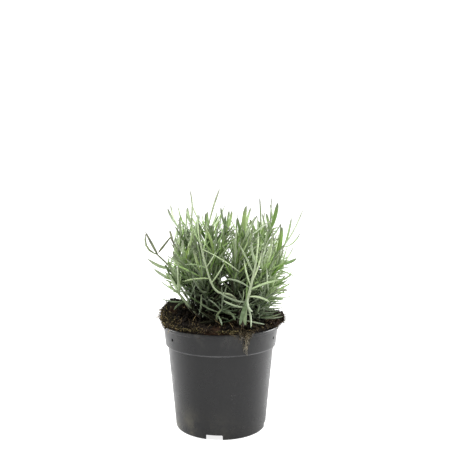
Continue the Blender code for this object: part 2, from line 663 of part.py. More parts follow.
def make_leafy_stem(name, stem, leaves, parts, green):
    """The stem's tube and its leaves, joined into one solid."""
    points, radii = stem.centreline()
    body = add_object(name, tube_mesh(name, points, radii), parts)
    grown = make_collection(name + "_leaves")
    for number, leaf in enumerate(leaves):
        add_object(f"{name}_leaf_{number}", leaf_mesh(f"{name}_leaf_{number}", leaf), grown)
    join = body.modifiers.new("join", "BOOLEAN")
    join.operation = "UNION"
    join.operand_type = "COLLECTION"
    join.collection = grown
    join.solver = "EXACT"
    bpy.context.view_layer.update()
    joined = bpy.data.meshes.new_from_object(body.evaluated_get(bpy.context.evaluated_depsgraph_get()))
    body.modifiers.clear()
    for thing in list(grown.objects):
        bpy.data.objects.remove(thing)
    bpy.data.collections.remove(grown)
    body.data = joined
    joined.materials.clear()
    joined.materials.append(green)
    smooth(joined)


def make_stem_hole(number, stem, holes):
    """The plain hole in the peat that a stem's upright foot stands in."""
    depth = HOLE_DEPTH + ROOT_RISE
    radius = (STEM_BASE_RADIUS + HOLE_GAP) / math.cos(math.pi / 6)
    cut_round(f"stem_hole_{number:02d}", radius, 2 * depth, stem.root, Matrix.Identity(4), holes, 6)


def main():
    clear_scene()
    parts = make_collection("potted_lavender")
    cutters = make_collection("pot_cutters")
    holes = make_collection("stem_holes")
    plastic = make_material("dark_grey_plastic", (0.07, 0.07, 0.075), 0.42)
    peat = make_material("peat", (0.035, 0.025, 0.016), 0.95)
    green = make_material("lavender_green", (0.21, 0.29, 0.16), 0.7)
    make_pot(parts, cutters, plastic)
    stems = [Stem(knots) for knots, rows in SHOWN_STEMS] + [filling_stem(*row) for row in FILLING_STEMS]
    shown = [rows for knots, rows in SHOWN_STEMS] + [[] for row in FILLING_STEMS]
    for number, stem in enumerate(stems):
        make_stem_hole(number, stem, holes)
    make_peat(parts, holes, peat)
    for number, (stem, leaves) in enumerate(zip(stems, grow_leaves(stems, shown))):
        make_leafy_stem(f"leafy_stem_{number + 1:02d}", stem, leaves, parts, green)


main()
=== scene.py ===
import json
import math
import random

import bmesh
import bpy
import numpy as np
from mathutils import Matrix, Vector, noise

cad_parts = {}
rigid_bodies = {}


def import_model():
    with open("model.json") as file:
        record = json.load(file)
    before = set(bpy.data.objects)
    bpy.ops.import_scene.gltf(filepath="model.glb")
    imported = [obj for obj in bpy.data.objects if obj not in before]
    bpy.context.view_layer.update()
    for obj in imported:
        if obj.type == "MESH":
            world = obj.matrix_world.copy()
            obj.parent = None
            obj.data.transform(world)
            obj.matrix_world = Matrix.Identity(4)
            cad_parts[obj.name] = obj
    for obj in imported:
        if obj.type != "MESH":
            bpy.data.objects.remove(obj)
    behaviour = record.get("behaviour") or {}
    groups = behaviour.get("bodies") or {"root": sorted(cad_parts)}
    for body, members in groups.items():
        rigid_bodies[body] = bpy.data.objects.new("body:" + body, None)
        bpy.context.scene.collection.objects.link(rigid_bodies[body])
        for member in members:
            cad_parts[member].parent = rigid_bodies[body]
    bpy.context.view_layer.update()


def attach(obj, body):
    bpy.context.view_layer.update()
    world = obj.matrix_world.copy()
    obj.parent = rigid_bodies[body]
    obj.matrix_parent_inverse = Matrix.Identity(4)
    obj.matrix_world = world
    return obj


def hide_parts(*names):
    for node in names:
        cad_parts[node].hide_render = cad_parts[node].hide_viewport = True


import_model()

MM = 0.001

# The pot is one thin moulding of recycled polypropylene, dark grey and satin, with a lipped rim,
# a collar that steps in to a tapered body, and a raised floor on a notched foot. It's turned here
# from its half section, and the notches and holes that its mould leaves open are cut from it.
RIM_RADIUS = 52.5 * MM
POT_HEIGHT = 92.4 * MM
SHOULDER_HEIGHT = 73.8 * MM
SHOULDER_RADIUS = 47.2 * MM
COLLAR_RADIUS = 49.2 * MM
BASE_RADIUS = 40.0 * MM
WALL = 1.2 * MM
RIM_LIP = 2.4 * MM
RIM_OVERHANG = 1.1 * MM
LIP_SLOPE = 0.5 * MM
SHOULDER_STEP = 0.4 * MM
SHOULDER_STEP_INSIDE = 1.4 * MM
FLOOR_HEIGHT = 5.0 * MM
FOOT_RING = 1.9 * MM
POT_FINE_SIDES = 160
NOTCH_AZIMUTHS = (-8.0, 82.0, 172.0, 262.0)
NOTCH_WIDTH = 14.3 * MM
NOTCH_HEIGHT = 4.4 * MM
NOTCH_DEPTH = 12.0 * MM
NOTCH_ROUNDING = 0.9 * MM
DRAIN_RADIUS = 3.6 * MM
DRAIN_RING = 25.0 * MM
DRAIN_COUNT = 6
HANGER_HOLE_RADIUS = 1.3 * MM
HANGER_HOLE_HEIGHT = 83.0 * MM
HANGER_AZIMUTHS = (-55.0, 65.0)
# Beside each hanger hole a thin rib stands up the collar: its width, depth and height, how many
# degrees it lies from the hole towards the front, and how much higher its middle is.
HANGER_RIB = (0.9 * MM, 0.5 * MM, 8.0 * MM)
HANGER_RIB_ASIDE = 2.9
HANGER_RIB_RISE = 1.5 * MM
COLLAR_LEAN = math.atan2(RIM_RADIUS - RIM_OVERHANG - COLLAR_RADIUS, POT_HEIGHT - SHOULDER_HEIGHT)


def compass(azimuth, radius, height):
    """The point at this azimuth in degrees, 0 at the front and 90 at +X, at a radius and height."""
    a = math.radians(azimuth)
    return Vector((radius * math.sin(a), -radius * math.cos(a), height))


def pot_outside(height):
    """The outer radius of the pot's wall at a height."""
    if height < SHOULDER_HEIGHT:
        return BASE_RADIUS + (SHOULDER_RADIUS - BASE_RADIUS) * height / SHOULDER_HEIGHT
    rise = (height - SHOULDER_HEIGHT) / (POT_HEIGHT - SHOULDER_HEIGHT)
    return COLLAR_RADIUS + (RIM_RADIUS - RIM_OVERHANG - COLLAR_RADIUS) * rise


def rounded(profile, corners):
    """The profile with an arc of five points in place of each listed corner."""
    out = []
    for i, point in enumerate(profile):
        if i not in corners:
            out.append(point)
            continue
        here = Vector(point)
        before = (Vector(profile[i - 1]) - here).normalized() * corners[i]
        after = (Vector(profile[i + 1]) - here).normalized() * corners[i]
        for step in range(5):
            t = step / 4
            out.append(tuple(here + before * (1 - t) ** 2 + after * t**2))
    return out


def link_object(name, data):
    thing = bpy.data.objects.new(name, data)
    bpy.context.scene.collection.objects.link(thing)
    return thing


pot_section = [
    (0.0, FLOOR_HEIGHT + WALL),
    (pot_outside(FLOOR_HEIGHT + WALL) - WALL, FLOOR_HEIGHT + WALL),
    (SHOULDER_RADIUS - WALL, SHOULDER_HEIGHT + SHOULDER_STEP),
    (COLLAR_RADIUS - WALL, SHOULDER_HEIGHT + SHOULDER_STEP_INSIDE),
    (pot_outside(POT_HEIGHT) - WALL, POT_HEIGHT),
    (RIM_RADIUS, POT_HEIGHT),
    (RIM_RADIUS, POT_HEIGHT - RIM_LIP),
    (pot_outside(POT_HEIGHT - RIM_LIP), POT_HEIGHT - RIM_LIP - LIP_SLOPE),
    (COLLAR_RADIUS, SHOULDER_HEIGHT),
    (SHOULDER_RADIUS, SHOULDER_HEIGHT - SHOULDER_STEP),
    (BASE_RADIUS, 0.0),
    (BASE_RADIUS - FOOT_RING, 0.0),
    (BASE_RADIUS - WALL, FLOOR_HEIGHT),
    (0.0, FLOOR_HEIGHT),
]
# How far from each corner of the section, by its place in the list, its rounding starts.
corner_reach = {4: 0.35, 5: 0.55, 6: 0.5, 7: 0.6, 8: 0.5, 9: 0.3, 10: 1.5}
pot_line = rounded(pot_section, {corner: reach * MM for corner, reach in corner_reach.items()})
pot_mesh = bpy.data.meshes.new("nursery_pot")
pot_mesh.from_pydata([(r, 0.0, z) for r, z in pot_line], [(i, i + 1) for i in range(len(pot_line) - 1)], [])
nursery_pot = link_object("nursery_pot", pot_mesh)
turn = nursery_pot.modifiers.new("turn", "SCREW")
turn.steps = turn.render_steps = POT_FINE_SIDES
turn.use_merge_vertices = True
turn.merge_threshold = 0.00001
pot_cutters = bpy.data.collections.new("pot_cutters")
bpy.context.scene.collection.children.link(pot_cutters)


def pot_cutter(name, shape, place, lie):
    """A shape that is cut from the pot, kept out of the render."""
    mesh = bpy.data.meshes.new(name)
    shape.to_mesh(mesh)
    shape.free()
    cutter = bpy.data.objects.new(name, mesh)
    cutter.matrix_world = Matrix.Translation(place) @ lie
    cutter.hide_render = True
    pot_cutters.objects.link(cutter)


def round_cut(radius, depth, sides):
    """A rod that cuts a round hole."""
    shape = bmesh.new()
    bmesh.ops.create_cone(shape, cap_ends=True, segments=sides, radius1=radius, radius2=radius, depth=depth)
    return shape


def box_cut(size, soften):
    """A block that cuts a notch with softened corners."""
    shape = bmesh.new()
    bmesh.ops.create_cube(shape, size=1.0, matrix=Matrix.Diagonal((*size, 1.0)))
    deep = [e for e in shape.edges if abs((e.verts[0].co - e.verts[1].co).y) > 0.9 * size[1]]
    bmesh.ops.bevel(shape, geom=deep, offset=soften, segments=4, profile=0.5, affect="EDGES")
    return shape


for azimuth in NOTCH_AZIMUTHS:
    notch = box_cut((NOTCH_WIDTH, NOTCH_DEPTH, 2 * NOTCH_HEIGHT), NOTCH_ROUNDING)
    facing = Matrix.Rotation(math.radians(azimuth), 4, "Z")
    pot_cutter("notch", notch, compass(azimuth, BASE_RADIUS - 2 * MM, 0.0), facing)
for azimuth in HANGER_AZIMUTHS:
    facing = Matrix.Rotation(math.radians(azimuth), 4, "Z")
    lying = facing @ Matrix.Rotation(math.radians(90), 4, "X")
    through_wall = compass(azimuth, pot_outside(HANGER_HOLE_HEIGHT), HANGER_HOLE_HEIGHT)
    pot_cutter("hanger_hole", round_cut(HANGER_HOLE_RADIUS, 6 * MM, 24), through_wall, lying)
for number in range(DRAIN_COUNT):
    place = compass(360.0 / DRAIN_COUNT * (number + 0.5), DRAIN_RING, FLOOR_HEIGHT)
    pot_cutter("drain", round_cut(DRAIN_RADIUS, 8 * MM, 32), place, Matrix.Identity(4))
pot_cutter("drain", round_cut(DRAIN_RADIUS, 8 * MM, 32), Vector((0, 0, FLOOR_HEIGHT)), Matrix.Identity(4))

cut = nursery_pot.modifiers.new("cut", "BOOLEAN")
cut.operation = "DIFFERENCE"
cut.operand_type = "COLLECTION"
cut.collection = pot_cutters
cut.solver = "EXACT"
bpy.context.view_layer.update()
cut_mesh = bpy.data.meshes.new_from_object(nursery_pot.evaluated_get(bpy.context.evaluated_depsgraph_get()))
nursery_pot.modifiers.clear()
nursery_pot.data = cut_mesh
for cutter in list(pot_cutters.objects):
    bpy.data.objects.remove(cutter)
bpy.data.collections.remove(pot_cutters)

with_ribs = bmesh.new()
with_ribs.from_mesh(cut_mesh)
for azimuth in HANGER_AZIMUTHS:
    aside = azimuth - math.copysign(HANGER_RIB_ASIDE, azimuth)
    middle = compass(aside, pot_outside(HANGER_HOLE_HEIGHT), HANGER_HOLE_HEIGHT + HANGER_RIB_RISE)
    seat = Matrix.Translation(middle)
    seat @= Matrix.Rotation(math.radians(aside), 4, "Z") @ Matrix.Rotation(COLLAR_LEAN, 4, "X")
    bmesh.ops.create_cube(with_ribs, size=1.0, matrix=seat @ Matrix.Diagonal((*HANGER_RIB, 1.0)))
with_ribs.to_mesh(cut_mesh)
with_ribs.free()
cut_mesh.shade_smooth()
cut_mesh.set_sharp_from_angle(angle=math.radians(28))


class Finish:
    """A material being built: its shader, and short ways to add the nodes that feed it."""

    def __init__(self, name):
        self.material = bpy.data.materials.new(name)
        self.material.use_nodes = True
        self.nodes = self.material.node_tree.nodes
        self.links = self.material.node_tree.links
        self.shader = self.nodes["Principled BSDF"]
        self.place = self.nodes.new("ShaderNodeTexCoord").outputs["Object"]

    def set(self, socket, value):
        self.shader.inputs[socket].default_value = value

    def feed(self, output, socket):
        self.links.new(output, self.shader.inputs[socket])

    def stretched(self, scale):
        node = self.nodes.new("ShaderNodeMapping")
        node.inputs["Scale"].default_value = scale
        self.links.new(self.place, node.inputs["Vector"])
        return node.outputs["Vector"]

    def noise(self, scale, detail, rough, vector=None):
        node = self.nodes.new("ShaderNodeTexNoise")
        node.inputs["Scale"].default_value = scale
        node.inputs["Detail"].default_value = detail
        node.inputs["Roughness"].default_value = rough
        self.links.new(vector or self.place, node.inputs["Vector"])
        return node.outputs["Fac"]

    def cells(self, scale):
        node = self.nodes.new("ShaderNodeTexVoronoi")
        node.inputs["Scale"].default_value = scale
        self.links.new(self.place, node.inputs["Vector"])
        return node.outputs["Distance"]

    def attribute(self, name):
        node = self.nodes.new("ShaderNodeAttribute")
        node.attribute_name = name
        return node.outputs["Fac"]

    def ramp(self, value, low, high, out_low=0.0, out_high=1.0):
        """The value taken from low..high to out_low..out_high, with smooth ends."""
        node = self.nodes.new("ShaderNodeMapRange")
        node.interpolation_type = "SMOOTHSTEP"
        ends = {"From Min": low, "From Max": high, "To Min": out_low, "To Max": out_high}
        for socket, number in ends.items():
            node.inputs[socket].default_value = number
        self.links.new(value, node.inputs["Value"])
        return node.outputs["Result"]

    def times(self, a, b):
        node = self.nodes.new("ShaderNodeMath")
        node.operation = "MULTIPLY"
        for socket, value in zip(node.inputs, (a, b)):
            if isinstance(value, float):
                socket.default_value = value
            else:
                self.links.new(value, socket)
        return node.outputs["Value"]

    def mix(self, share, a, b):
        """Colour a turning into colour b as share goes from 0 to 1."""
        node = self.nodes.new("ShaderNodeMix")
        node.data_type = "RGBA"
        for socket, value in ((node.inputs[0], share), (node.inputs[6], a), (node.inputs[7], b)):
            if isinstance(value, tuple):
                socket.default_value = (*value, 1.0)
            else:
                self.links.new(value, socket)
        return node.outputs[2]

    def axis(self, name):
        node = self.nodes.new("ShaderNodeSeparateXYZ")
        self.links.new(self.place, node.inputs[0])
        return node.outputs[name]

    def bump(self, height, strength, distance):
        node = self.nodes.new("ShaderNodeBump")
        node.inputs["Strength"].default_value = strength
        node.inputs["Distance"].default_value = distance
        self.links.new(height, node.inputs["Height"])
        self.links.new(node.outputs["Normal"], self.shader.inputs["Normal"])


def dark_grey_plastic():
    """Satin charcoal with faint flow marks, dust that clings low down, fine handling scuffs and a painted
    highlight along the shoulder's step.
    """
    f = Finish("dark grey plastic")
    flow = f.noise(26, 5, 0.55, f.stretched((1, 1, 0.35)))
    plastic = f.mix(f.ramp(flow, 0.3, 0.7), (0.004, 0.004, 0.0044), (0.009, 0.009, 0.0097))
    height = f.axis("Z")
    low_down = f.ramp(height, 0.0, 34 * MM, 1.0, 0.0)
    left = f.ramp(f.axis("X"), -36 * MM, 22 * MM, 1.0, 0.12)
    smudge = f.ramp(f.noise(55, 6, 0.65), 0.42, 0.7)
    dust = f.times(f.times(low_down, left), smudge)
    collar = f.ramp(height, 70 * MM, 92 * MM, 0.0, 1.0)
    soil_film = f.times(collar, f.ramp(f.noise(70, 5, 0.7, f.stretched((1, 1, 0.5))), 0.5, 0.78))
    dusty = f.mix(f.times(dust, 0.6), plastic, (0.115, 0.105, 0.07))
    filmed = f.mix(f.times(soil_film, 0.4), dusty, (0.105, 0.10, 0.085))
    speck = f.ramp(f.cells(240), 0.035, 0.075, 1.0, 0.0)
    rare = f.ramp(f.noise(85, 2, 0.5), 0.6, 0.66)
    specked = f.mix(f.times(f.times(speck, rare), 0.7), filmed, (0.34, 0.33, 0.30))
    scuff = f.ramp(f.noise(240, 3, 0.7, f.stretched((0.25, 0.25, 2.6))), 0.64, 0.74)
    worn = f.times(scuff, f.ramp(f.noise(38, 3, 0.5), 0.5, 0.68))
    scuffed = f.mix(f.times(worn, 0.35), specked, (0.12, 0.12, 0.12))
    # Painted highlight: a pale line along the shoulder's step, broken up by noise, in place of the light
    # its edge catches.
    above = f.ramp(height, SHOULDER_HEIGHT - 0.9 * MM, SHOULDER_HEIGHT - 0.2 * MM)
    below = f.ramp(height, SHOULDER_HEIGHT + 0.5 * MM, SHOULDER_HEIGHT + 1.3 * MM, 1.0, 0.0)
    uneven_highlight = f.ramp(f.noise(60, 4, 0.6), 0.3, 0.65, 0.2, 0.55)
    shoulder_highlight = f.times(f.times(above, below), uneven_highlight)
    f.feed(f.mix(shoulder_highlight, scuffed, (0.17, 0.17, 0.175)), "Base Color")
    f.feed(f.ramp(f.noise(120, 4, 0.6), 0.3, 0.75, 0.26, 0.38), "Roughness")
    f.set("IOR", 1.45)
    f.set("Specular IOR Level", 0.48)
    f.bump(f.noise(900, 3, 0.6), 0.1, 0.00008)
    return f.material


cut_mesh.materials.clear()
cut_mesh.materials.append(dark_grey_plastic())
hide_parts("pot")
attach(nursery_pot, "root")

# The root ball is peat held together by roots. It fills the pot, swells above the rim and hangs
# over it at the left, right and back. Its outside is broken up into clods and crumbs.
GAP = 0.35 * MM
# How far its edge is from the axis, then how far it stands out further: by how many millimetres,
# at which azimuth and over how many degrees to each side.
PEAT_EDGE = 48.6
PEAT_OVERHANGS = [(4.6, -82, 66), (7.4, 86, 52), (5.0, 180, 60)]
# How far it rises above the rim everywhere, then its mounds: height, x, y and spread, in millimetres.
PEAT_RISE = 2.4
PEAT_MOUNDS = [(15.0, -40, 8, 13), (5.5, 47, 5, 15), (5.0, 0, 0, 25)]
PEAT_ROUGHNESS = 1.6 * MM
PEAT_EDGE_ROUGHNESS = 1.2 * MM
PEAT_EDGE_FOOT = 1.2 * MM
PEAT_FINE_SIDES = 300
# The share of the edge's radius from which the surface turns down to the edge.
PEAT_SHOULDER = 0.935


def lobe(azimuth, centre, half_width):
    """1 at a centre azimuth, falling smoothly to 0 at half_width degrees from it."""
    away = abs((azimuth - centre + 180.0) % 360.0 - 180.0)
    return 0.0 if away > half_width else 0.5 + 0.5 * math.cos(math.pi * away / half_width)


def peat_edge_radius(azimuth):
    """How far the peat's edge reaches from the axis: over the rim at the left, right and back."""
    overhang = sum(reach * lobe(azimuth, centre, half) for reach, centre, half in PEAT_OVERHANGS)
    return (PEAT_EDGE + overhang) * MM + PEAT_EDGE_ROUGHNESS * noise.noise(compass(azimuth, 3.2, 0.5))


def peat_top(x, y):
    """The height of the peat's surface at a place, all of it above the rim."""
    rise = PEAT_RISE
    for height, mound_x, mound_y, spread in PEAT_MOUNDS:
        away = math.hypot(x / MM - mound_x, y / MM - mound_y)
        rise += height * math.exp(-0.5 * (away / spread) ** 2)
    clods = noise.fractal(Vector((x, y, 0)) / (9 * MM), 0.9, 2.0, 3)
    return POT_HEIGHT + rise * MM + PEAT_ROUGHNESS * clods


def crumble(place):
    """How far the peat's broken skin stands out at a place, in metres."""
    clods = noise.fractal(place / (4.5 * MM), 0.8, 2.1, 4)
    crumbs = noise.fractal(place / (1.3 * MM) + Vector((7, 3, 1)), 0.7, 2.0, 3)
    return (1.25 * clods + 0.42 * crumbs) * MM


def peat_skin(azimuth, share, lift):
    """A point of the peat above the rim, at a share of its edge's radius and a share of its rise."""
    radius = share * peat_edge_radius(azimuth)
    flat = compass(azimuth, radius, 0.0)
    height = peat_top(flat.x, flat.y) * lift + (1 - lift) * (POT_HEIGHT + PEAT_EDGE_FOOT)
    return compass(azimuth, radius, height)


peat_neck = pot_outside(POT_HEIGHT) - WALL - GAP
# The rings above the rim: their shares of the edge's radius and of the rise, from the edge inwards.
peat_shares = [(1.0, 0.2), (1.0, 0.4), (0.995, 0.6), (0.985, 0.78), (0.965, 0.92), (PEAT_SHOULDER, 1.0)]
peat_shares += [(PEAT_SHOULDER - 0.93 * i / 62, 1.0) for i in range(1, 63)]
peat_shape = bmesh.new()
peat_rings = []
below_rim = [
    (pot_outside(FLOOR_HEIGHT + WALL + GAP) - WALL - GAP, FLOOR_HEIGHT + WALL + GAP),
    (SHOULDER_RADIUS - WALL - GAP, SHOULDER_HEIGHT + SHOULDER_STEP + GAP),
    (COLLAR_RADIUS - WALL - GAP, SHOULDER_HEIGHT + SHOULDER_STEP_INSIDE + GAP),
    (peat_neck, POT_HEIGHT + GAP),
]
for radius, height in below_rim:
    ring = [compass(360.0 * i / PEAT_FINE_SIDES, radius, height) for i in range(PEAT_FINE_SIDES)]
    peat_rings.append([peat_shape.verts.new(place) for place in ring])
under_edge = []
for i in range(PEAT_FINE_SIDES):
    azimuth = 360.0 * i / PEAT_FINE_SIDES
    radius = max(peat_neck, peat_edge_radius(azimuth) - 1.6 * MM)
    under_edge.append(peat_shape.verts.new(compass(azimuth, radius, POT_HEIGHT + 2 * GAP)))
peat_rings.append(under_edge)
for share, lift in peat_shares:
    ring = []
    for i in range(PEAT_FINE_SIDES):
        azimuth = 360.0 * i / PEAT_FINE_SIDES
        place = peat_skin(azimuth, share, lift)
        out = (compass(azimuth, 1.0, 0.0) * (1.0 if share > 0.96 else 0.3) + Vector((0, 0, 1))).normalized()
        ring.append(peat_shape.verts.new(place + out * crumble(place)))
    peat_rings.append(ring)
for low, high in zip(peat_rings, peat_rings[1:]):
    for i in range(PEAT_FINE_SIDES):
        j = (i + 1) % PEAT_FINE_SIDES
        peat_shape.faces.new((low[i], low[j], high[j], high[i]))
peat_shape.faces.new(list(reversed(peat_rings[0])))
peat_shape.faces.new(peat_rings[-1])
bmesh.ops.recalc_face_normals(peat_shape, faces=peat_shape.faces)
peat_mesh = bpy.data.meshes.new("root_ball_skin")
peat_shape.to_mesh(peat_mesh)
peat_shape.free()
peat_mesh.shade_smooth()
root_ball_skin = link_object("root_ball_skin", peat_mesh)


def dark_peat():
    """Near-black to red-brown peat, matt, with paler dry grains."""
    f = Finish("dark peat")
    damp = f.ramp(f.noise(90, 6, 0.65), 0.35, 0.68)
    black_brown = f.mix(damp, (0.003, 0.0022, 0.0014), (0.015, 0.0098, 0.0055))
    reddish = f.ramp(f.noise(45, 4, 0.5), 0.52, 0.72)
    warm = f.mix(f.times(reddish, 0.6), black_brown, (0.042, 0.017, 0.008))
    grains = f.ramp(f.cells(1400), 0.12, 0.3, 1.0, 0.0)
    dry = f.times(grains, f.ramp(f.noise(300, 3, 0.6), 0.55, 0.7))
    f.feed(f.mix(f.times(dry, 0.35), warm, (0.12, 0.085, 0.045)), "Base Color")
    f.set("Roughness", 0.92)
    f.set("Specular IOR Level", 0.12)
    f.bump(f.noise(1500, 6, 0.75), 0.9, 0.0006)
    return f.material


peat_finish = dark_peat()
peat_mesh.materials.append(peat_finish)
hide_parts("root_ball")
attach(root_ball_skin, "root")

# Loose crumbs of peat lie all over the root ball, from grains of under a millimetre to small clods
# of three or four. They are broken from the same peat and only rest there. One lies at the rim.
CRUMB_COUNT = 2200
CRUMB_SMALLEST = 0.4 * MM
CRUMB_RANGE = 1.5 * MM
RIM_CRUMB_AZIMUTH = -62.0
RIM_CRUMB_RADIUS = 1.0 * MM
CRUMB_SEED = 41
crumb_draw = random.Random(CRUMB_SEED)


def peat_place(draw, azimuth=None, share=None):
    """A place on the peat's broken skin, and the way out of it there."""
    azimuth = draw.uniform(0, 360) if azimuth is None else azimuth
    share = math.sqrt(draw.random()) if share is None else share
    lift = 1.0 if share < PEAT_SHOULDER else draw.uniform(0.25, 1.0)
    place = peat_skin(azimuth, share, lift)
    outward = compass(azimuth, 1.0, 0.0) * (1.2 if share > PEAT_SHOULDER else 0.15)
    out = (outward + Vector((0, 0, 1))).normalized()
    return place + out * crumble(place), out


crumb_shape = bmesh.new()
for number in range(CRUMB_COUNT):
    place, out = peat_place(crumb_draw)
    size = CRUMB_SMALLEST + CRUMB_RANGE * crumb_draw.random() ** 4
    turned = crumb_draw.uniform(0, 6.28)
    spin = Matrix.Rotation(turned, 4, Vector([crumb_draw.gauss(0, 1) for i in range(3)]))
    squeeze = Matrix.Diagonal([size * crumb_draw.uniform(0.6, 1.3) for i in range(3)] + [1.0])
    seat = Matrix.Translation(place + out * 0.25 * size) @ spin @ squeeze
    made = bmesh.ops.create_icosphere(crumb_shape, subdivisions=1, radius=1.0, matrix=seat)
    for vert in made["verts"]:
        vert.co += out * 0.3 * size * noise.noise(vert.co / (0.7 * MM))
        vert.co += (vert.co - place) * 0.35 * noise.noise(vert.co / (0.5 * MM) + Vector((5, 5, 5)))
at_rim = Matrix.Translation(compass(RIM_CRUMB_AZIMUTH, RIM_RADIUS + 1.1 * MM, POT_HEIGHT + 0.6 * MM))
at_rim @= Matrix.Diagonal((1.0, 0.8, 1.2, 1.0))
bmesh.ops.create_icosphere(crumb_shape, subdivisions=2, radius=RIM_CRUMB_RADIUS, matrix=at_rim)
crumb_mesh = bpy.data.meshes.new("peat_crumbs")
crumb_shape.to_mesh(crumb_mesh)
crumb_shape.free()
peat_crumbs = link_object("peat_crumbs", crumb_mesh)
crumb_mesh.materials.append(peat_finish)
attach(peat_crumbs, "root")

# Dead grass, fine roots and threads of dry moss lie matted over the peat and hang out past the
# rim, thickest along the left edge, the front and the right. Some stick out loose at the far left.
# Each strand is rooted in the peat.
FIBRE_SIDES = 3
FIBRE_COUNT = 900
EDGE_FIBRE_COUNT = 1500
LOOSE_FIBRE_COUNT = 44
FIBRE_SEED = 77


class Strands:
    """Many thin tapering strands gathered into one mesh, each with its own tone from 0 to 1."""

    def __init__(self):
        self.verts = []
        self.faces = []
        self.tones = []

    def add(self, points, radius, tone):
        sides = FIBRE_SIDES
        first = len(self.verts)
        count = len(points)
        for k, place in enumerate(points):
            along = (points[min(k + 1, count - 1)] - points[max(k - 1, 0)]).normalized()
            across = along.cross(Vector((0.3, 0.5, 0.81))).normalized()
            third = along.cross(across)
            thick = radius * (1 - 0.75 * (k / (count - 1)) ** 2)
            for side in range(sides):
                a = 2 * math.pi * side / sides
                self.verts.append(place + (across * math.cos(a) + third * math.sin(a)) * thick)
                self.tones.append(min(1.0, tone * (0.55 + 0.9 * k / (count - 1))))
        for k in range(count - 1):
            for side in range(sides):
                low = first + k * sides
                j = (side + 1) % sides
                self.faces.append((low + side, low + j, low + sides + j, low + sides + side))
        self.faces.append(tuple(first + side for side in reversed(range(sides))))
        self.faces.append(tuple(first + (count - 1) * sides + side for side in range(sides)))

    def build(self, name, material):
        mesh = bpy.data.meshes.new(name)
        mesh.from_pydata(self.verts, [], self.faces)
        mesh.attributes.new("tone", "FLOAT", "POINT").data.foreach_set("value", self.tones)
        mesh.shade_smooth()
        mesh.materials.append(material)
        return link_object(name, mesh)


def crooked(start, way, length, bend, draw, count=7):
    """Points of a strand that wanders as it goes."""
    points = [start.copy()]
    heading = way.normalized()
    for step in range(count - 1):
        heading = (heading + Vector([draw.gauss(0, bend) for i in range(3)])).normalized()
        points.append(points[-1] + heading * length / (count - 1))
    return points


def strand_finish(name, dark, middle, pale):
    """Matt dry strands, each between a dark, a middle and a pale colour by its tone."""
    f = Finish(name)
    tone = f.attribute("tone")
    lower = f.mix(f.ramp(tone, 0.0, 0.5), dark, middle)
    blend = f.mix(f.ramp(tone, 0.5, 1.0), lower, pale)
    patchy = f.mix(f.ramp(f.noise(700, 3, 0.6), 0.45, 0.7), blend, dark)
    f.feed(patchy, "Base Color")
    f.set("Roughness", 0.85)
    f.set("Specular IOR Level", 0.15)
    return f.material


fibre_draw = random.Random(FIBRE_SEED)
fibres = Strands()
for number in range(FIBRE_COUNT):
    place, out = peat_place(fibre_draw)
    sideways = out.cross(Vector([fibre_draw.gauss(0, 1) for i in range(3)])).normalized()
    way = sideways + out * fibre_draw.uniform(-0.1, 0.5)
    length = fibre_draw.uniform(4, 13) * MM
    thick = (0.08 + 0.26 * fibre_draw.random() ** 2) * MM
    fibres.add(crooked(place, way, length, 0.4, fibre_draw, 9), thick, fibre_draw.random() ** 2.0)
for number in range(EDGE_FIBRE_COUNT):
    azimuth = (fibre_draw.gauss(-72, 32), fibre_draw.uniform(-60, 60), fibre_draw.gauss(84, 14))[number % 3]
    place, out = peat_place(fibre_draw, azimuth, fibre_draw.uniform(0.93, 1.0))
    droop = Vector((0, 0, -1)) * fibre_draw.uniform(0.0, 0.9)
    sideways = out.cross(Vector((0, 0, 1))).normalized() * fibre_draw.gauss(0, 0.8)
    reach = fibre_draw.uniform(-0.2, 0.35) if azimuth < -50 else fibre_draw.uniform(0.0, 0.8)
    way = compass(azimuth, reach, 0.0) + droop + sideways
    length = fibre_draw.uniform(2.0, 6.0) * MM
    points = crooked(place, way, length, 0.4, fibre_draw, 6)
    fibres.add(points, fibre_draw.uniform(0.1, 0.24) * MM, fibre_draw.random() ** 2.2)
for number in range(LOOSE_FIBRE_COUNT):
    azimuth = fibre_draw.gauss(-84, 15)
    place, out = peat_place(fibre_draw, azimuth, fibre_draw.uniform(0.97, 1.0))
    way = compass(azimuth, 1.0, 0.0) + Vector([fibre_draw.gauss(0, 0.35) for i in range(3)])
    length = fibre_draw.uniform(5, 10) * MM
    fibres.add(crooked(place, way, length, 0.2, fibre_draw), 0.17 * MM, fibre_draw.uniform(0.5, 0.9))
dry_browns = ((0.008, 0.005, 0.0025), (0.048, 0.031, 0.013), (0.31, 0.23, 0.11))
dry_fibres = fibres.build("dry_fibres", strand_finish("dry brown strands", *dry_browns))
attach(dry_fibres, "root")

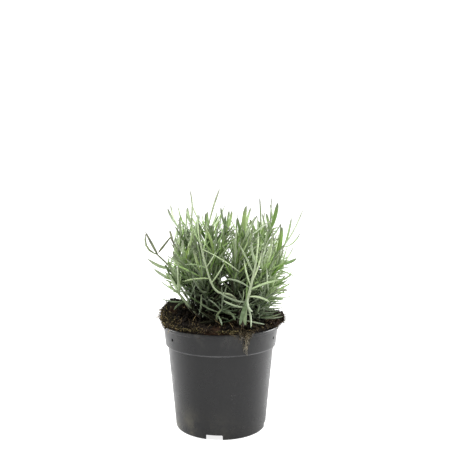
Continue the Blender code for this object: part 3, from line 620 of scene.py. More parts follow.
# A wisp of dry roots has grown out over the rim at the front right and hangs close to the collar.
# A few long pale roots reach down to the step under it, among many short darker ones.
WISP_AZIMUTH = 24.0
WISP_DROP = 21.0 * MM
WISP_ROOTS = 70
WISP_LONG_ROOTS = 12
WISP_STEPS = 12
WISP_SEED = 12
wisp_draw = random.Random(WISP_SEED)
wisp = Strands()
for number in range(WISP_ROOTS):
    if number < WISP_LONG_ROOTS:
        azimuth, length = wisp_draw.gauss(0.8, 1.6), wisp_draw.uniform(0.65, 1.0)
        thick, tone = wisp_draw.uniform(0.14, 0.26), wisp_draw.uniform(0.5, 1.0)
    else:
        azimuth, length = wisp_draw.gauss(-2.5, 4.5), wisp_draw.uniform(0.08, 0.45)
        thick, tone = wisp_draw.uniform(0.1, 0.24), wisp_draw.random() ** 1.5
    azimuth += WISP_AZIMUTH
    length *= WISP_DROP
    points = [peat_place(wisp_draw, azimuth, wisp_draw.uniform(0.95, 1.0))[0]]
    sway, phase = wisp_draw.uniform(0.3, 1.3), wisp_draw.uniform(0, 6.28)
    for step in range(1, WISP_STEPS + 1):
        t = step / WISP_STEPS
        height = POT_HEIGHT + 1.5 * MM - length * t
        at_lip = height > POT_HEIGHT - RIM_LIP - 1 * MM
        clear = (RIM_RADIUS if at_lip else pot_outside(height)) + 0.3 * MM
        clear += wisp_draw.uniform(0.0, 0.8) * MM
        inward = (WISP_AZIMUTH + 1.0 - azimuth) * 0.25 * t
        points.append(compass(azimuth + inward + sway * math.sin(phase + 9 * t), clear, height))
    wisp.add(points, thick * MM, tone)
root_buffs = ((0.016, 0.012, 0.006), (0.14, 0.11, 0.06), (0.56, 0.51, 0.40))
root_wisp = wisp.build("root_wisp", strand_finish("pale dry roots", *root_buffs))
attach(root_wisp, "root")

# Moss grows in low cushions of fine olive and gold shoots, along the left edge of the peat, at its
# back and in two tufts that lean out over the front rim.
MOSS_SEED = 5
moss_draw = random.Random(MOSS_SEED)
moss = Strands()
# Each patch's middle azimuth and spread in degrees, how far in from the edge it grows, how many
# shoots it has, how far they lean out and down, and how rare the pale ones are.
MOSS_PATCHES = [
    (-84, 18, 0.07, 600, 0.0, 2.8), (-36, 7, 0.022, 170, 1.0, 1.0), (9, 7, 0.02, 140, 0.8, 1.0),
    (150, 60, 0.08, 390, 0.0, 2.8),
]
for middle, spread, depth, count, lean, rarity in MOSS_PATCHES:
    for number in range(count):
        azimuth, share = moss_draw.gauss(middle, spread), 1.0 - abs(moss_draw.gauss(0, depth))
        place, out = peat_place(moss_draw, azimuth, min(0.999, max(0.5, share)))
        leaning = compass(azimuth, lean, -lean)
        way = 0.6 * out + leaning + Vector([moss_draw.gauss(0, 0.8) for i in range(3)])
        shorter = 1.0 if share < 0.93 else 0.55
        length = moss_draw.uniform(2.5, 8.0 - 3.0 * lean) * shorter * MM
        thick = (0.12 + 0.08 * lean + 0.22 * moss_draw.random() ** 2) * MM
        moss.add(crooked(place, way, length, 0.5, moss_draw, 8), thick, moss_draw.random() ** rarity)
moss_olives = ((0.007, 0.007, 0.0025), (0.046, 0.040, 0.013), (0.33, 0.27, 0.12))
moss_cushions = moss.build("moss_cushions", strand_finish("olive moss", *moss_olives))
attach(moss_cushions, "root")

# The lavender's leafy stems: square young shoots, woody at the foot, with narrow leaves in crossed
# pairs whose edges roll under. Each is one piece, grown from its root in the peat by the same rule
# and the same draws as its solid, with more small leaves between the solid's blades.
STEM_BASE_RADIUS = 1.25 * MM
STEM_TIP_RADIUS = 0.75 * MM
STEM_RINGS = 7
ROOT_RISE = 1.6 * MM
LEAF_WIDTH = 1.6 * MM
LEAF_THICKNESS = 1.0 * MM
LEAF_LENGTH = 34.0 * MM
PAIR_SPACING = 7.4 * MM
# The bush they fill: its middle in x, how wide, deep and high it is, and how uneven its top is. The
# leaves stay out of an opening over the peat at its left, and out of a window that shows daylight
# right through the bush: its place in x and z, its half width and half height, and how much lower
# it lies for every millimetre towards the back.
BUSH_MIDDLE = 6.0 * MM
BUSH_HALF_WIDTH = 47.0 * MM
BUSH_HALF_DEPTH = 45.0 * MM
BUSH_WAIST = 10.0 * MM
BUSH_WAIST_HEIGHT = 136.0 * MM
BUSH_WAIST_SPREAD = 22.0 * MM
BUSH_HEIGHT = 192.0 * MM
BUSH_RAGGEDNESS = 16.0 * MM
RAGGED_SPAN = 7.0 * MM
OPEN_LEFT_OF = -29.0 * MM
OPEN_BELOW = 122.0 * MM
WINDOW = (2.5 * MM, 131.0 * MM)
WINDOW_HALF_SIZE = (2.4 * MM, 1.3 * MM)
WINDOW_FALL = 0.16
PEAT_CLEARANCE = 2.4 * MM
LEAF_SEED = 1912
# How far the leaves given below are turned out of the plane of their stem, in degrees, and how far
# those are that are at least so many millimetres wide.
SHOWN_LEAF_TURN = 50.0
BROAD_LEAF = 3.0
BROAD_LEAF_TURN = 8.0

# The stems and leaves that stand out in front, in millimetres, with the front at -Y. A stem is its
# root's x and y, then the points it passes through up to its tip. Each of its leaves is the share
# of the stem it grows at, its tip, how far its middle bows off a straight line in x and in z,
# and its width. More leaves are then grown on it by rule.
SHOWN_STEMS = [
    # the two bare twigs at the left
    ([(-19, 4), (-29, 9, 116), (-39, 11, 130), (-47, 12, 141), (-58, 12, 152)], [
        (1.0, (-67.5, 12, 172), (-4.5, -3), 2.2), (0.98, (-68.5, 14, 172), (0, 0), 2.2),
        (0.72, (-66, 9, 148), (1, -3), 2.8), (0.55, (-63, 15, 140), (1, -4), 3.0),
        (0.5, (-60, 7, 139), (2, -4), 2.4)]),
    ([(-14, 9), (-20, 5, 112), (-29, 5, 132), (-39, 5, 156), (-45, 5, 168)], [
        (1.0, (-56, 4, 154), (0, 0), 2.0), (0.9, (-46, 8, 174), (0, 0), 1.8)]),
    # the upright shoots along the top, from left to right
    ([(-12, 0), (-18, 1, 125), (-29, 2, 155), (-37, 2, 177)], [
        (1.0, (-47, 0, 194), (-0.5, -1.5), 2.0), (0.97, (-45, 8, 197), (-1, -2), 2.0),
        (0.96, (-38, -3, 196), (1.5, 0), 2.2)]),
    ([(-7, -6), (-11, -7, 125), (-20, -7, 155), (-26, -5, 183)], [
        (1.0, (-27, -2, 210), (1.5, 0), 1.5), (0.97, (-29, -9, 195), (-1, 0), 2.3),
        (0.88, (-20, -3, 189), (1, 0), 2.0)]),
    ([(-4, 5), (-5, 6, 130), (-8, 6, 158), (-11, 6, 178)], [
        (1.0, (-1, 8, 211), (-0.8, 0), 1.5), (0.97, (-12, 3, 191), (-0.5, 0), 2.2),
        (0.9, (-3, 2, 191), (0.5, 0), 2.0)]),
    ([(2, -3), (-2, -3, 124), (0, -4, 145), (4, -4, 177)], [
        (1.0, (0, -6, 195), (-0.5, 0), 2.0), (0.97, (7, -8, 192), (0.5, 0), 2.0),
        (0.93, (10, 2, 192), (1, 0), 2.2), (0.9, (4, -10, 188), (0, 0), 2.4)]),
    ([(5, -13), (10, -12, 126), (17, -12, 153), (20, -15, 171)], [
        (1.0, (22, -17, 197), (-1, 0), 3.4), (0.97, (26, -12, 195), (-0.5, 0), 2.4),
        (0.92, (14, -18, 187), (-0.5, 0), 2.6)]),
    ([(9, 4), (15, 6, 125), (29, 8, 152), (36, 9, 170)], [
        (1.0, (35, 10, 203), (0.5, 0), 1.4), (0.93, (26, 5, 184), (-0.5, 0), 2.4),
        (0.9, (33, 14, 186), (0, 0), 2.0)]),
    ([(13, -3), (22, -4, 125), (38, -4, 156), (44, -4, 176)], [
        (1.0, (50, -5, 199), (0.5, -1), 3.0), (0.96, (45, 0, 203), (0, 0), 1.4),
        (0.97, (40, -8, 190), (0, -0.5), 2.2)]),
    ([(17, 3), (28, 2, 122), (45, -2, 147), (57, -4, 163)], [
        (1.0, (71.5, -9, 193), (1, -1), 2.0), (0.98, (62, -6, 186), (0.5, -1), 1.8),
        (0.85, (54, -6, 178), (0.5, -1), 2.4), (0.88, (62, 8, 175), (1, -2), 2.0),
        (0.93, (69, -12, 173), (1, -3), 1.8)]),
    ([(19, -9), (29, -10, 118), (42, -12, 134), (53, -12, 146)], [
        (1.0, (66, -13, 151), (0, -1), 2.8), (0.95, (58, -9, 161), (0.5, -1), 2.4),
        (0.68, (62, -16, 141), (2.5, -5), 2.8), (0.85, (64, -4, 160), (1, -2), 2.0)]),
    ([(23, -15), (31, -17, 111), (42, -20, 124)], [
        (1.0, (58, -18, 124), (0, 0.5), 2.2), (0.95, (53, -26, 132), (0, -0.5), 2.2),
        (0.8, (54, -22, 117), (0, 0), 2.2), (0.6, (49, -10, 112), (0, 1), 2.0)]),
    # the pale stem that bends to the left and up in front, forked twice
    ([(15, -32), (16, -35, 112), (9, -38, 123), (-2, -39, 126), (-8, -38, 134), (-13, -37, 150),
      (-18, -34, 170)], [
        (1.0, (-19, -33, 190), (-0.5, 0), 1.6), (0.97, (-25, -36, 184), (-0.5, 0), 1.6),
        (0.8, (-4, -42, 161), (1, 0), 1.7), (0.79, (-30, -40, 149), (0, 1.5), 1.7),
        (0.7, (-30, -43, 136), (0, 1), 1.7), (0.66, (3, -42, 151), (0.5, -0.5), 1.7),
        (0.9, (-12, -28, 184), (1, 0), 1.7), (0.93, (16, -43, 143), (0, 1.5), 1.6)]),
    # the large pale shoot at the front right, with its whorl of leaves
    ([(18, -40), (20, -42, 110), (24, -44, 129), (27, -44, 142), (29, -43, 153)], [
        (1.0, (31, -42, 176), (0.5, 0), 2.0), (0.94, (25, -47, 169), (-1, 0), 1.9),
        (0.52, (5, -46, 138), (0, 2), 1.8), (0.5, (48, -44, 137), (0, 1), 1.8),
        (0.42, (40, -46, 119), (0, 2), 1.8), (0.36, (-1, -47, 127), (0, -2), 1.9),
        (0.3, (2, -49, 121), (0, -1.5), 1.9), (0.42, (26, -51, 112), (-2, -1.5), 1.8),
        (0.38, (15.5, -50, 101), (0, 1.5), 3.6), (0.36, (20, -51, 101), (-1, 0.5), 3.2),
        (0.32, (24.5, -50, 99), (1.5, 1.5), 1.5),
        (0.62, (34, -44, 162), (1, -1), 1.9), (0.55, (19, -41, 155), (-1, 0), 2.0),
        (0.75, (14, -46, 168), (0.5, 0), 1.6)]),
    # low shoots that lie over the peat
    ([(-3, -33), (-3, -36, 106), (1, -39, 112)], [
        (1.0, (12, -47, 104), (1, 2), 1.8), (0.9, (13, -42, 108), (0, -1), 1.7),
        (0.5, (1, -48, 100), (0.5, 1), 1.9), (0.75, (-17, -44, 118), (0, -1.5), 1.7)]),
    ([(-24, -10), (-31, -11, 112), (-37, -12, 120)], [
        (0.6, (-54, -9, 116), (1, -2.5), 2.4), (1.0, (-47, -4, 127), (0, -1), 2.0),
        (0.9, (-36, -22, 136), (-1, 0), 2.4), (0.5, (-40, -22, 108), (0, 2), 2.2)]),
]

# The other stems, in millimetres: the growing tip's x, y and z, the root's x and y, and how far
# the tip leans from upright, in degrees.
FILLING_STEMS = [
    (-29, 26, 164, -11, 14, 16),
    (-8, 24, 168, -3, 13, 8),
    (16, 27, 166, 9, 14, 10),
    (34, 26, 160, 14, 12, 18),
    (-43, 18, 152, -19, 13, 28),
    (50, 18, 148, 22, 9, 32),
    (-5, 40, 148, -4, 21, 26),
    (29, 41, 136, 12, 20, 36),
    (-27, 41, 138, -10, 22, 34),
    (48, 32, 122, 22, 18, 52),
    (-30, -18, 150, -15, -8, 16),
    (-6, -18, 156, -3, -14, 6),
    (36, -22, 142, 13, -16, 20),
    (-36, -27, 124, -17, -20, 40),
    (-16, -27, 138, -9, -22, 20),
    (14, -22, 150, 11, -21, 8),
    (42, -27, 122, 27, -23, 46),
    (-46, 2, 132, -26, 3, 50),
]
# The share of a stem above which only the leaves given for it grow, for the two in front.
BARE_ABOVE = {13: 0.2, 14: 0.22}


class Stem:
    """One leafy stem's centreline: a smooth curve through its knots from its root to its tip,
    taken as straight pieces between the tube's rings."""

    def __init__(self, knots):
        x, y = knots[0][0] * MM, knots[0][1] * MM
        self.root = Vector((x, y, peat_top(x, y) + ROOT_RISE))
        self.knots = [self.root] + [Vector(knot) * MM for knot in knots[1:]]
        self.rings = [self.curve(i / (STEM_RINGS - 1)) for i in range(STEM_RINGS)]
        self.length = sum((high - low).length for low, high in zip(self.rings, self.rings[1:]))

    def span(self, t):
        """The four knots round a place and how far it lies between the middle two."""
        spans = len(self.knots) - 1
        place = min(max(t, 0.0), 0.99999) * spans
        i = int(place)
        first = 2 * self.knots[0] - self.knots[1]
        last = 2 * self.knots[-1] - self.knots[-2]
        row = [first] + self.knots + [last]
        return row[i : i + 4], place - i

    def curve(self, t):
        (a, b, c, d), u = self.span(t)
        rise, bend, turn = c - a, 2 * a - 5 * b + 4 * c - d, 3 * b - a - 3 * c + d
        return 0.5 * (2 * b + rise * u + bend * u**2 + turn * u**3)

    def way(self, t):
        (a, b, c, d), u = self.span(t)
        rise, bend, turn = c - a, 2 * a - 5 * b + 4 * c - d, 3 * b - a - 3 * c + d
        return (rise + bend * 2 * u + turn * 3 * u**2).normalized()

    def at(self, t):
        place = t * (STEM_RINGS - 1)
        i = min(int(place), STEM_RINGS - 2)
        return self.rings[i].lerp(self.rings[i + 1], place - i)

    def radius(self, t):
        return STEM_BASE_RADIUS + (STEM_TIP_RADIUS - STEM_BASE_RADIUS) * t


def filling_stem(tip_x, tip_y, tip_z, root_x, root_y, lean):
    """A stem that leaves its root near upright and leans more and more on the way to its tip."""
    outward = Vector((tip_x, tip_y, 0)).normalized()
    lean = math.radians(lean)
    tip = Vector((tip_x, tip_y, tip_z))
    root = Vector((root_x, root_y, peat_top(root_x * MM, root_y * MM) / MM))
    reach = (tip - root).length / 3
    upper = tip - (outward * math.sin(lean) + Vector((0, 0, math.cos(lean)))) * reach
    lower = root + (upper - root) * 0.5 + Vector((0, 0, 0.06 * reach))
    return Stem([(root_x, root_y), tuple(lower), tuple(upper), tuple(tip)])


class Leaf:
    """One narrow leaf's midline, an even curve from inside the stem out to its tip, and its width."""

    def __init__(self, start, way, curl, length, width, side):
        self.start, self.way, self.curl = start, way, curl
        self.length, self.width, self.side = length, width, side

    def at(self, t):
        return self.start + (self.way * t + self.curl * t * t) * self.length

    def frame(self, t):
        """Along, across and upper-face directions at a place on the leaf."""
        along = (self.way + self.curl * 2 * t).normalized()
        across = (self.side - along * self.side.dot(along)).normalized()
        return along, across, across.cross(along).normalized()


def shown_leaf(stem, share, tip, bow, width):
    """A leaf given by the place on the stem that it grows from, its tip and its bow."""
    start = stem.at(share)
    chord = Vector(tip) * MM - start
    curl = Vector((bow[0], 0, bow[1])) * MM * -4 / chord.length
    side = stem.way(share).cross(chord)
    if side.length < 0.3 * chord.length:
        side = stem.way(share).cross(Vector((0, -1, 0)))
    turn = SHOWN_LEAF_TURN if width < BROAD_LEAF else BROAD_LEAF_TURN
    side = Matrix.Rotation(math.radians(turn), 3, chord) @ side.normalized()
    return Leaf(start, chord / chord.length - curl, curl, chord.length, width * MM, side)


def sample(curve, length):
    count = max(6, int(length / (1.5 * MM)))
    return np.array([curve(i / (count - 1)) for i in range(count)])


def too_near(points, others, clearance):
    if not len(others):
        return False
    low, high = points.min(0) - clearance, points.max(0) + clearance
    near = others[np.all((others > low) & (others < high), axis=1)]
    if not len(near):
        return False
    apart = np.linalg.norm(points[:, None, :] - near[None, :, :], axis=2)
    return bool(apart.min() < clearance)


def outside_bush(points):
    """Whether a leaf would stand out of the bush, which is widest low down, has a ragged top,
    leaves the mound of peat at its left open and has a small window right through its middle."""
    wider = BUSH_WAIST * np.exp(-(((points[:, 2] - BUSH_WAIST_HEIGHT) / BUSH_WAIST_SPREAD) ** 2))
    wide = np.any(np.abs(points[:, 0] - BUSH_MIDDLE) > BUSH_HALF_WIDTH + wider)
    deep = np.any(np.abs(points[:, 1]) > BUSH_HALF_DEPTH + wider)
    ragged = BUSH_RAGGEDNESS * noise.noise(Vector((points[-1][0], points[-1][1], 0)) / RAGGED_SPAN)
    in_opening = np.any((points[:, 0] < OPEN_LEFT_OF) & (points[:, 2] < OPEN_BELOW))
    aside = np.abs(points[:, 0] - WINDOW[0]) / WINDOW_HALF_SIZE[0]
    above = np.abs(points[:, 2] + WINDOW_FALL * points[:, 1] - WINDOW[1]) / WINDOW_HALF_SIZE[1]
    in_window = np.any((aside < 1.0) & (above < 1.0))
    return bool(wide or deep or in_opening or in_window or points[:, 2].max() > BUSH_HEIGHT + ragged)


def in_peat(points):
    return any(p[2] < peat_top(p[0], p[1]) + PEAT_CLEARANCE for p in points[len(points) // 4 :])


def try_leaf(stem, t, turn, attempt, draw):
    """A leaf at this share of the stem and turn round it. Later attempts bend it further aside."""
    stray = 10 + 6 * attempt
    way = stem.way(t)
    flat = way.cross(Vector((0, 0, 1)))
    flat = (flat if flat.length > 0.05 else way.cross(Vector((0, 1, 0)))).normalized()
    out = Matrix.Rotation(math.radians(turn + draw.uniform(-stray, stray)), 3, way) @ flat
    spread = math.radians(88 - 56 * t + draw.uniform(-16, 16 + 1.5 * attempt))
    lie = way * math.cos(spread) + out * math.sin(spread)
    inward = way * math.sin(spread) - out * math.cos(spread)
    sideways = way.cross(out)
    curl = inward * draw.uniform(-0.15, 0.55) + sideways * draw.uniform(-0.34, 0.34)
    curl += Vector((0, 0, 1)) * draw.uniform(-0.12, 0.16) * (1 - t)
    length = LEAF_LENGTH * draw.uniform(0.58, 1.15) * (0.85 + 0.17 * t) * 0.96**attempt
    width = LEAF_WIDTH * draw.uniform(0.85, 1.25)
    return Leaf(stem.at(t), lie, curl, length, width, sideways)


def grow_leaves(stems, shown):
    """The leaves of every stem. After the ones that are given come crossed pairs up the stem and a
    tuft at its tip. A leaf that would touch another stem or its leaves is bent aside, and left out
    if fourteen tries don't clear it."""
    draw = random.Random(LEAF_SEED)
    leaves = [[shown_leaf(stem, *row) for row in rows] for stem, rows in zip(stems, shown)]
    taken = [sample(stem.at, stem.length) for stem in stems]
    for number, given in enumerate(leaves):
        taken[number] = np.concatenate([taken[number]] + [sample(leaf.at, leaf.length) for leaf in given])
    clearance = 1.12 * LEAF_WIDTH + 0.35 * MM
    for number, stem in enumerate(stems):
        others = np.concatenate([taken[k] for k in range(len(stems)) if k != number])
        for t, turn in leaf_places(stem, number, bool(leaves[number])):
            own = [sample(leaf.at, leaf.length) for leaf in leaves[number]]
            outer = [points[len(points) // 3 :] for points in own]
            own = np.concatenate(outer) if outer else np.zeros((0, 3))
            for attempt in range(14):
                leaf = try_leaf(stem, t, turn, attempt, draw)
                points = sample(leaf.at, leaf.length)
                if outside_bush(points) or in_peat(points) or too_near(points, others, clearance):
                    continue
                if too_near(points[len(points) // 3 :], own, LEAF_WIDTH):
                    continue
                leaves[number].append(leaf)
                taken[number] = np.concatenate([taken[number], points])
                break
    return leaves


def leaf_places(stem, number, has_shown):
    """Where leaves grow on a stem, as shares of its length and turns round it in degrees."""
    top = BARE_ABOVE.get(number + 1, 0.87 if has_shown else 0.95)
    pairs = max(2, int(stem.length * top / PAIR_SPACING))
    places = []
    for pair in range(pairs):
        t = 0.12 + (top - 0.12) * (pair / (pairs - 1)) ** 1.1
        places += [(t, 90.0 * pair + 37.0 * number + half) for half in (0, 180)]
    if not has_shown:
        places += [(0.985, 90.0 * pairs + 37.0 * number + turn) for turn in (0, 120, 240)]
    return places


stems = [Stem(knots) for knots, rows in SHOWN_STEMS] + [filling_stem(*row) for row in FILLING_STEMS]
shown_rows = [rows for knots, rows in SHOWN_STEMS] + [[] for row in FILLING_STEMS]
grown = grow_leaves(stems, shown_rows)

# The small leaves between those of the solid. They end below EXTRA_TOP, and at the front none grows
# from lower than EXTRA_FOOT on a stem rooted left of EXTRA_LOW_RIGHT_OF, where the peat shows. Each
# kind has how often it's tried on a stem, its shortest and longest, its narrowest and widest, and
# how far it keeps off the others.
EXTRA_SEED = 300
EXTRA_TOP = 181.0 * MM
EXTRA_FOOT = 110.0 * MM
EXTRA_LOW_RIGHT_OF = 20.0 * MM
EXTRA_LEAVES = {
    "long": (80, 0.6, 1.0, 0.6, 1.0, 1.2 * MM),
    "young": (60, 0.25, 0.5, 0.6, 0.85, 0.8 * MM),
}


def extra_leaves(number, draw, crowd):
    """More leaves for one stem: long ones, then small young ones from the joints of the others,
    all kept off the leaves that are there already."""
    stem = stems[number]
    added = []
    over_bare_peat = stem.root.x < EXTRA_LOW_RIGHT_OF and stem.root.y < 0
    for tries, shortest, longest, narrowest, widest, gap in EXTRA_LEAVES.values():
        for attempt in range(tries):
            share = draw.uniform(0.04, BARE_ABOVE.get(number + 1, 1.0))
            leaf = try_leaf(stem, share, draw.uniform(0, 360), 0, draw)
            leaf.length *= draw.uniform(shortest, longest)
            leaf.width *= draw.uniform(narrowest, widest)
            points = sample(leaf.at, leaf.length)
            if points[:, 2].max() > EXTRA_TOP or (over_bare_peat and leaf.start.z < EXTRA_FOOT):
                continue
            if outside_bush(points) or in_peat(points) or too_near(points[len(points) // 3 :], crowd, gap):
                continue
            added.append(leaf)
            crowd = np.concatenate([crowd, points])
    return added, crowd


# How a leaf's half width grows and shrinks from its root to its tip, and one section of it, as
# shares of the half width across and of the thickness up: channelled above, keeled below.
LEAF_OUTLINE = [
    (0.0, 0.5), (0.1, 0.72), (0.3, 0.95), (0.55, 1.0), (0.78, 0.92), (0.9, 0.72), (0.96, 0.48), (1.0, 0.15),
]
LEAF_SECTION = [
    (-1.0, -0.08), (-0.66, 0.34), (0.0, 0.12), (0.66, 0.34), (1.0, -0.08), (0.6, -0.46), (0.0, -0.3),
    (-0.6, -0.46),
]
# How many steps and sides a stem's mesh has, how slim it is beside its solid and how square.
STEM_STEPS = 30
STEM_SIDES = 12
STEM_SLIM = 0.92
STEM_SQUARE = 0.08


class Foliage:
    """One leafy stem's mesh. Each vertex has the looks of its leaf, which are its tone, how pale it
    is, how drab, how deep in the bush for its painted shade, then its place along the leaf and how woody it
    is."""

    def __init__(self):
        self.verts = []
        self.faces = []
        self.values = {"tone": [], "pale": [], "drab": [], "deep": [], "along": [], "woody": []}

    def ring(self, places, values):
        """Adds the points of one section, with their looks, and returns their numbers."""
        first = len(self.verts)
        self.verts += [tuple(place) for place in places]
        for row, value in zip(self.values.values(), values):
            row += [value] * len(places)
        return list(range(first, len(self.verts)))

    def join(self, rings):
        """Closes a row of sections to one tube."""
        for low, high in zip(rings, rings[1:]):
            for i in range(len(low)):
                j = (i + 1) % len(low)
                self.faces.append((low[i], low[j], high[j], high[i]))
        self.faces.append(tuple(reversed(rings[0])))
        self.faces.append(tuple(rings[-1]))

    def add_leaf(self, leaf, wide, looks, draw):
        twist = draw.uniform(-0.5, 0.5)
        ripple = draw.uniform(0, 6.28)
        rings = []
        for t, share in LEAF_OUTLINE:
            along, across, upper = leaf.frame(t)
            turned = Matrix.Rotation(twist * t + 0.12 * math.sin(ripple + 7 * t), 3, along)
            across, upper = turned @ across, turned @ upper
            half = 0.5 * wide * share
            thick = min(1.2 * LEAF_THICKNESS, 0.75 * wide) * max(0.35, share)
            middle = leaf.at(t)
            places = [middle + across * half * u + upper * thick * v for u, v in LEAF_SECTION]
            rings.append(self.ring(places, (*looks, t, 0.0)))
        self.join(rings)

    def add_stem(self, stem, looks):
        foot = stem.root - Vector((0, 0, ROOT_RISE + 2 * MM))
        shares = [i / STEM_STEPS for i in range(STEM_STEPS + 1)]
        places = [(foot, 0.0)] + [(stem.curve(t), t) for t in shares]
        across = Vector((1, 0, 0))
        rings = []
        for k, (middle, t) in enumerate(places):
            way = (places[min(k + 1, STEM_STEPS + 1)][0] - places[max(k - 1, 0)][0]).normalized()
            across = (across - way * across.dot(way)).normalized()
            third = way.cross(across)
            radius = stem.radius(t) * STEM_SLIM
            ring = []
            for side in range(STEM_SIDES):
                a = 2 * math.pi * side / STEM_SIDES
                square = 1.0 + STEM_SQUARE * math.cos(4 * a)
                ring.append(middle + (across * math.cos(a) + third * math.sin(a)) * radius * square)
            rings.append(self.ring(ring, (*looks, t, 1.0)))
        self.join(rings)

    def build(self, name, material):
        mesh = bpy.data.meshes.new(name)
        mesh.from_pydata(self.verts, [], self.faces)
        for key, values in self.values.items():
            mesh.attributes.new(key, "FLOAT", "POINT").data.foreach_set("value", values)
        mesh.shade_smooth()
        mesh.set_sharp_from_angle(angle=math.radians(55))
        mesh.materials.append(material)
        return link_object(name, mesh)


def lavender_green():
    """Grey-green felted leaves: silvery outside, paler higher up as partly painted light, darkened within
    the bush by painted shade, drab at their tips.
    """
    f = Finish("lavender green")
    tone = f.attribute("tone")
    green = f.mix(f.ramp(tone, 0.0, 0.5), (0.045, 0.110, 0.010), (0.215, 0.385, 0.050))
    greyer = f.mix(f.ramp(tone, 0.5, 0.8), green, (0.35, 0.475, 0.19))
    fresh = f.mix(f.ramp(tone, 0.84, 0.96), greyer, (0.31, 0.46, 0.09))
    height = f.axis("Z")
    blue = f.ramp(height, 130 * MM, 102 * MM, 0.0, 1.0)
    blued = f.mix(f.times(blue, 0.6), fresh, (0.070, 0.110, 0.062))
    # Painted shade: leaves deep within the bush and low down are darkened towards a near-black green.
    lower = f.mix(f.times(f.attribute("deep"), 0.9), blued, (0.011, 0.027, 0.005))
    # The pale silver is the outer leaves' felt, and partly painted light where it grows with height.
    silver = f.mix(f.attribute("pale"), lower, (0.49, 0.555, 0.40))
    tip = f.times(f.ramp(f.attribute("along"), 0.66, 1.0), f.ramp(height, 118 * MM, 165 * MM))
    tipped = f.mix(f.times(tip, 0.85), silver, (0.16, 0.17, 0.125))
    mottle = f.ramp(f.noise(420, 4, 0.6), 0.4, 0.72)
    felt = f.mix(f.times(mottle, 0.15), tipped, (0.40, 0.46, 0.32))
    young_bark = f.mix(f.attribute("pale"), (0.19, 0.25, 0.11), (0.46, 0.52, 0.36))
    # The bark at the stems' feet is its own brown, darkened further as painted shade.
    bark_and_painted_shade = f.mix(f.ramp(f.attribute("along"), 0.08, 0.5), (0.05, 0.036, 0.02), young_bark)
    surface = f.mix(f.attribute("woody"), felt, bark_and_painted_shade)
    joint = f.ramp(f.noise(150, 2, 0.5), 0.42, 0.6)
    dry = f.mix(joint, (0.085, 0.075, 0.062), (0.20, 0.20, 0.13))
    f.feed(f.mix(f.attribute("drab"), surface, dry), "Base Color")
    f.feed(f.ramp(f.noise(900, 3, 0.6), 0.3, 0.7, 0.5, 0.7), "Roughness")
    f.set("Sheen Weight", 0.15)
    f.set("Sheen Roughness", 0.4)
    f.set("Specular IOR Level", 0.35)
    f.bump(f.noise(2600, 3, 0.7), 0.25, 0.0001)
    return f.material


leaf_finish = lavender_green()

# How pale and how drab the stems that stand out are, by number, and how broad their leaves are
# beside the rule's. The other stems' leaves get broader from a height on, over a span.
PALE_STEMS = {13: 0.45, 14: 0.65, 15: 0.12, 16: 0.2}
DRAB_STEMS = {1: 0.7, 2: 0.9, 12: 0.6}
LEAF_BREADTH = {
    1: 1.35, 2: 1.2, 4: 1.45, 5: 1.4, 10: 1.35, 12: 1.35, 13: 0.8, 14: 1.0, 15: 0.9, 16: 0.9,
}
BROADER_BY = 0.22
BROADER_FROM = 130.0 * MM
BROADER_OVER = 40.0 * MM
# How far out in x and y the leaves are palest, and from which height, over which span, they lose
# the painted shade of the bush's inside. The thin leaves' tips turn drab from a height on, over a span.
PALE_AT = (50.0 * MM, 75.0 * MM)
DEPTH_FROM = 108.0 * MM
DEPTH_OVER = 56.0 * MM
THIN_LEAF = 1.8 * MM
DRAB_FROM = 190.0 * MM
DRAB_OVER = 14.0 * MM


def past(value, start, span):
    """0 up to the start, then growing evenly to 1 over the span."""
    return min(1.0, max(0.0, (value - start) / span))


def leaf_looks(number, leaf, place, draw):
    """A leaf's tone, how pale and how drab it is, and how deep it grows: the leaves low down and
    within the bush get the darkest painted shade, the outermost are felted and palest, and the higher ones
    are paler, partly as painted light."""
    middle = leaf.at(0.6)
    outward = min(1.0, math.hypot(middle.x / PALE_AT[0], middle.y / PALE_AT[1]))
    above = past(middle.z, DEPTH_FROM, DEPTH_OVER)
    deep = max(0.0, 1.3 - 0.75 * outward**2 - 1.2 * above) + draw.uniform(-0.4, 0.4)
    pale = min(1.0, 0.95 * outward**2 + 0.5 * above) * draw.uniform(0.0, 1.0) ** 1.15
    # The extra small leaves get more painted shade and less of the pale.
    if place >= len(grown[number]):
        deep, pale = deep + 0.35, 0.6 * pale
    deep = min(1.0, max(0.0, deep))
    whole = PALE_STEMS.get(number + 1, 0.0)
    if place < len(shown_rows[number]):
        if leaf.width > BROAD_LEAF * MM:
            pale, deep = 0.08, 0.55 if whole else 0.2
        elif whole:
            pale, deep = whole * draw.uniform(0.7, 1.0), deep * (1.0 - whole)
    drab = DRAB_STEMS.get(number + 1, 0.0) if place < 2 else 0.0
    if leaf.width < THIN_LEAF:
        drab = max(drab, 0.5 * past(leaf.at(1.0).z, DRAB_FROM, DRAB_OVER))
    return draw.random(), pale, drab, deep


extra_draw = random.Random(EXTRA_SEED)
crowd = np.concatenate([sample(leaf.at, leaf.length) for leaves in grown for leaf in leaves])
crowd = np.concatenate([crowd] + [sample(stem.at, stem.length) for stem in stems])
for number, stem in enumerate(stems):
    added, crowd = extra_leaves(number, extra_draw, crowd)
    foliage = Foliage()
    pale, drab = PALE_STEMS.get(number + 1, 0.3), DRAB_STEMS.get(number + 1, 0.0)
    foliage.add_stem(stem, (extra_draw.random(), pale, drab, 0.0))
    for place, leaf in enumerate(grown[number] + added):
        higher = past(leaf.at(0.6).z, BROADER_FROM, BROADER_OVER)
        wide = leaf.width * LEAF_BREADTH.get(number + 1, 1.0 + BROADER_BY * higher)
        foliage.add_leaf(leaf, wide, leaf_looks(number, leaf, place, extra_draw), extra_draw)
    leafy_stem = foliage.build(f"lavender_stem_{number + 1:02d}", leaf_finish)
    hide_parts(f"leafy_stem_{number + 1:02d}")
    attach(leafy_stem, "root")
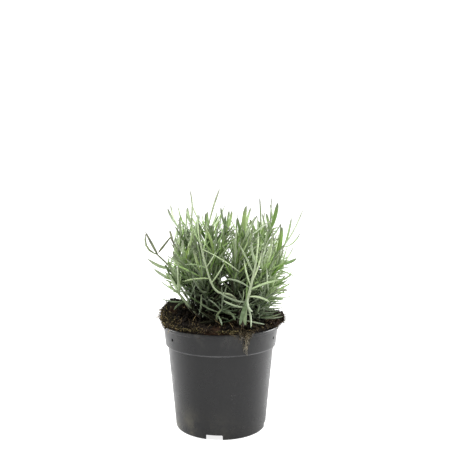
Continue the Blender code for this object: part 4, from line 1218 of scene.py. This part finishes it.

# Last year's leaves still hang low inside the bush, on the same stems as the green ones. They have
# dried and shrunk, and are coloured near-black as painted shade that fills the dark between the green
# leaves.
OLD_LEAF_SEED = 88
OLD_LEAVES_A_STEM = 40
OLD_LEAF_REACH = 40.0 * MM
OLD_LEAF_TOP = 142.0 * MM
old_draw = random.Random(OLD_LEAF_SEED)
old_foliage = Foliage()
for stem in stems:
    for attempt in range(OLD_LEAVES_A_STEM):
        leaf = try_leaf(stem, old_draw.uniform(0.0, 0.5), old_draw.uniform(0, 360), 2, old_draw)
        leaf.length *= old_draw.uniform(0.3, 0.7)
        points = sample(leaf.at, leaf.length)
        if outside_bush(points) or in_peat(points) or points[:, 2].max() > OLD_LEAF_TOP:
            continue
        if np.hypot(points[:, 0], points[:, 1]).max() > OLD_LEAF_REACH:
            continue
        if too_near(points[2:], crowd, 0.5 * MM):
            continue
        old_foliage.add_leaf(leaf, 0.8 * leaf.width, (old_draw.random(), 0.0, 0.0, 1.0), old_draw)
        crowd = np.concatenate([crowd, points])
f = Finish("dead leaf painted shade")
# Painted shade: the old leaves are near-black so that they fill the dark between the green ones.
f.feed(f.mix(f.attribute("tone"), (0.005, 0.005, 0.003), (0.022, 0.022, 0.011)), "Base Color")
f.set("Roughness", 0.9)
f.set("Specular IOR Level", 0.1)
old_leaves_painted_shade = old_foliage.build("old_leaves_painted_shade", f.material)
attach(old_leaves_painted_shade, "root")

# The plant stands on a plain white floor in a white room whose far wall is the brightest. Two
# softboxes, one at each side and a little behind it, brighten the pot's flanks and the leaves'
# edges, and a wide soft light overhead brightens the top.
floor_shape = bmesh.new()
bmesh.ops.create_grid(floor_shape, x_segments=1, y_segments=1, size=6.0)
floor_mesh = bpy.data.meshes.new("floor")
floor_shape.to_mesh(floor_mesh)
floor_shape.free()
studio_floor = link_object("studio_floor", floor_mesh)


def seen_or_not(tree, seen, otherwise):
    """One strength for what the camera sees and another for what lights the plant."""
    sight = tree.nodes.new("ShaderNodeLightPath")
    level = tree.nodes.new("ShaderNodeMapRange")
    level.inputs["To Min"].default_value = otherwise
    level.inputs["To Max"].default_value = seen
    tree.links.new(sight.outputs["Is Camera Ray"], level.inputs["Value"])
    return level.outputs["Result"]


f = Finish("white floor")
f.set("Base Color", (0.35, 0.35, 0.35, 1.0))
f.set("Emission Color", (1.0, 1.0, 1.0, 1.0))
f.feed(seen_or_not(f.material.node_tree, 0.85, 0.36), "Emission Strength")
f.set("Roughness", 0.9)
f.set("Specular IOR Level", 0.1)
floor_mesh.materials.append(f.material)

room = bpy.data.worlds.new("white room")
room.use_nodes = True
parts, join = room.node_tree.nodes, room.node_tree.links.new
backdrop = parts["Background"]
backdrop.inputs["Color"].default_value = (1.0, 1.0, 1.0, 1.0)
parted = parts.new("ShaderNodeSeparateXYZ")
join(parts.new("ShaderNodeTexCoord").outputs["Generated"], parted.inputs[0])
wall = parts.new("ShaderNodeMapRange")
wall.interpolation_type = "SMOOTHSTEP"
for socket, number in {"From Min": -0.25, "From Max": 0.5, "To Min": 0.28, "To Max": 1.28}.items():
    wall.inputs[socket].default_value = number
join(parted.outputs["Y"], wall.inputs["Value"])
brighter = parts.new("ShaderNodeMath")
brighter.operation = "MAXIMUM"
join(wall.outputs["Result"], brighter.inputs[0])
join(seen_or_not(room.node_tree, 1.1, 0.0), brighter.inputs[1])
join(brighter.outputs["Value"], backdrop.inputs["Strength"])
bpy.context.scene.world = room
bpy.context.scene.view_settings.view_transform = "Standard"


def softbox(name, place, size, watts):
    """A flat soft light that is turned to the middle of the pot and doesn't show."""
    data = bpy.data.lights.new(name, "AREA")
    data.shape = "RECTANGLE"
    data.size, data.size_y = size
    data.energy = watts
    light = link_object(name, data)
    light.location = place
    to_pot = Vector((0, 0, 0.1)) - light.location
    light.rotation_euler = to_pot.to_track_quat("-Z", "Y").to_euler()
    light.visible_camera = False


softbox("left softbox", (-1.0, 0.55, 0.35), (0.7, 1.0), 28.0)
softbox("right softbox", (1.0, 0.45, 0.35), (0.9, 1.1), 46.0)
overhead = bpy.data.lights.new("overhead light", "SUN")
overhead.energy = 4.4
overhead.angle = math.radians(34)
overhead_light = link_object("overhead light", overhead)
overhead_light.rotation_euler = (math.radians(14), math.radians(-8), 0)

# The camera stands level with the top of the plant and looks down on it a little, as the one that
# took the photograph did. Its place was fitted to the pot's rim, step and foot.
camera_data = bpy.data.cameras.new("camera")
camera_data.lens = 50.0
camera_data.sensor_width = 36.0
camera_data.clip_start = 0.01
camera = link_object("camera", camera_data)
camera.location = (0.0, -0.553, 0.217)
camera.rotation_euler = (math.radians(90.0 - 3.9), 0.0, math.radians(-0.39))
bpy.context.scene.camera = camera
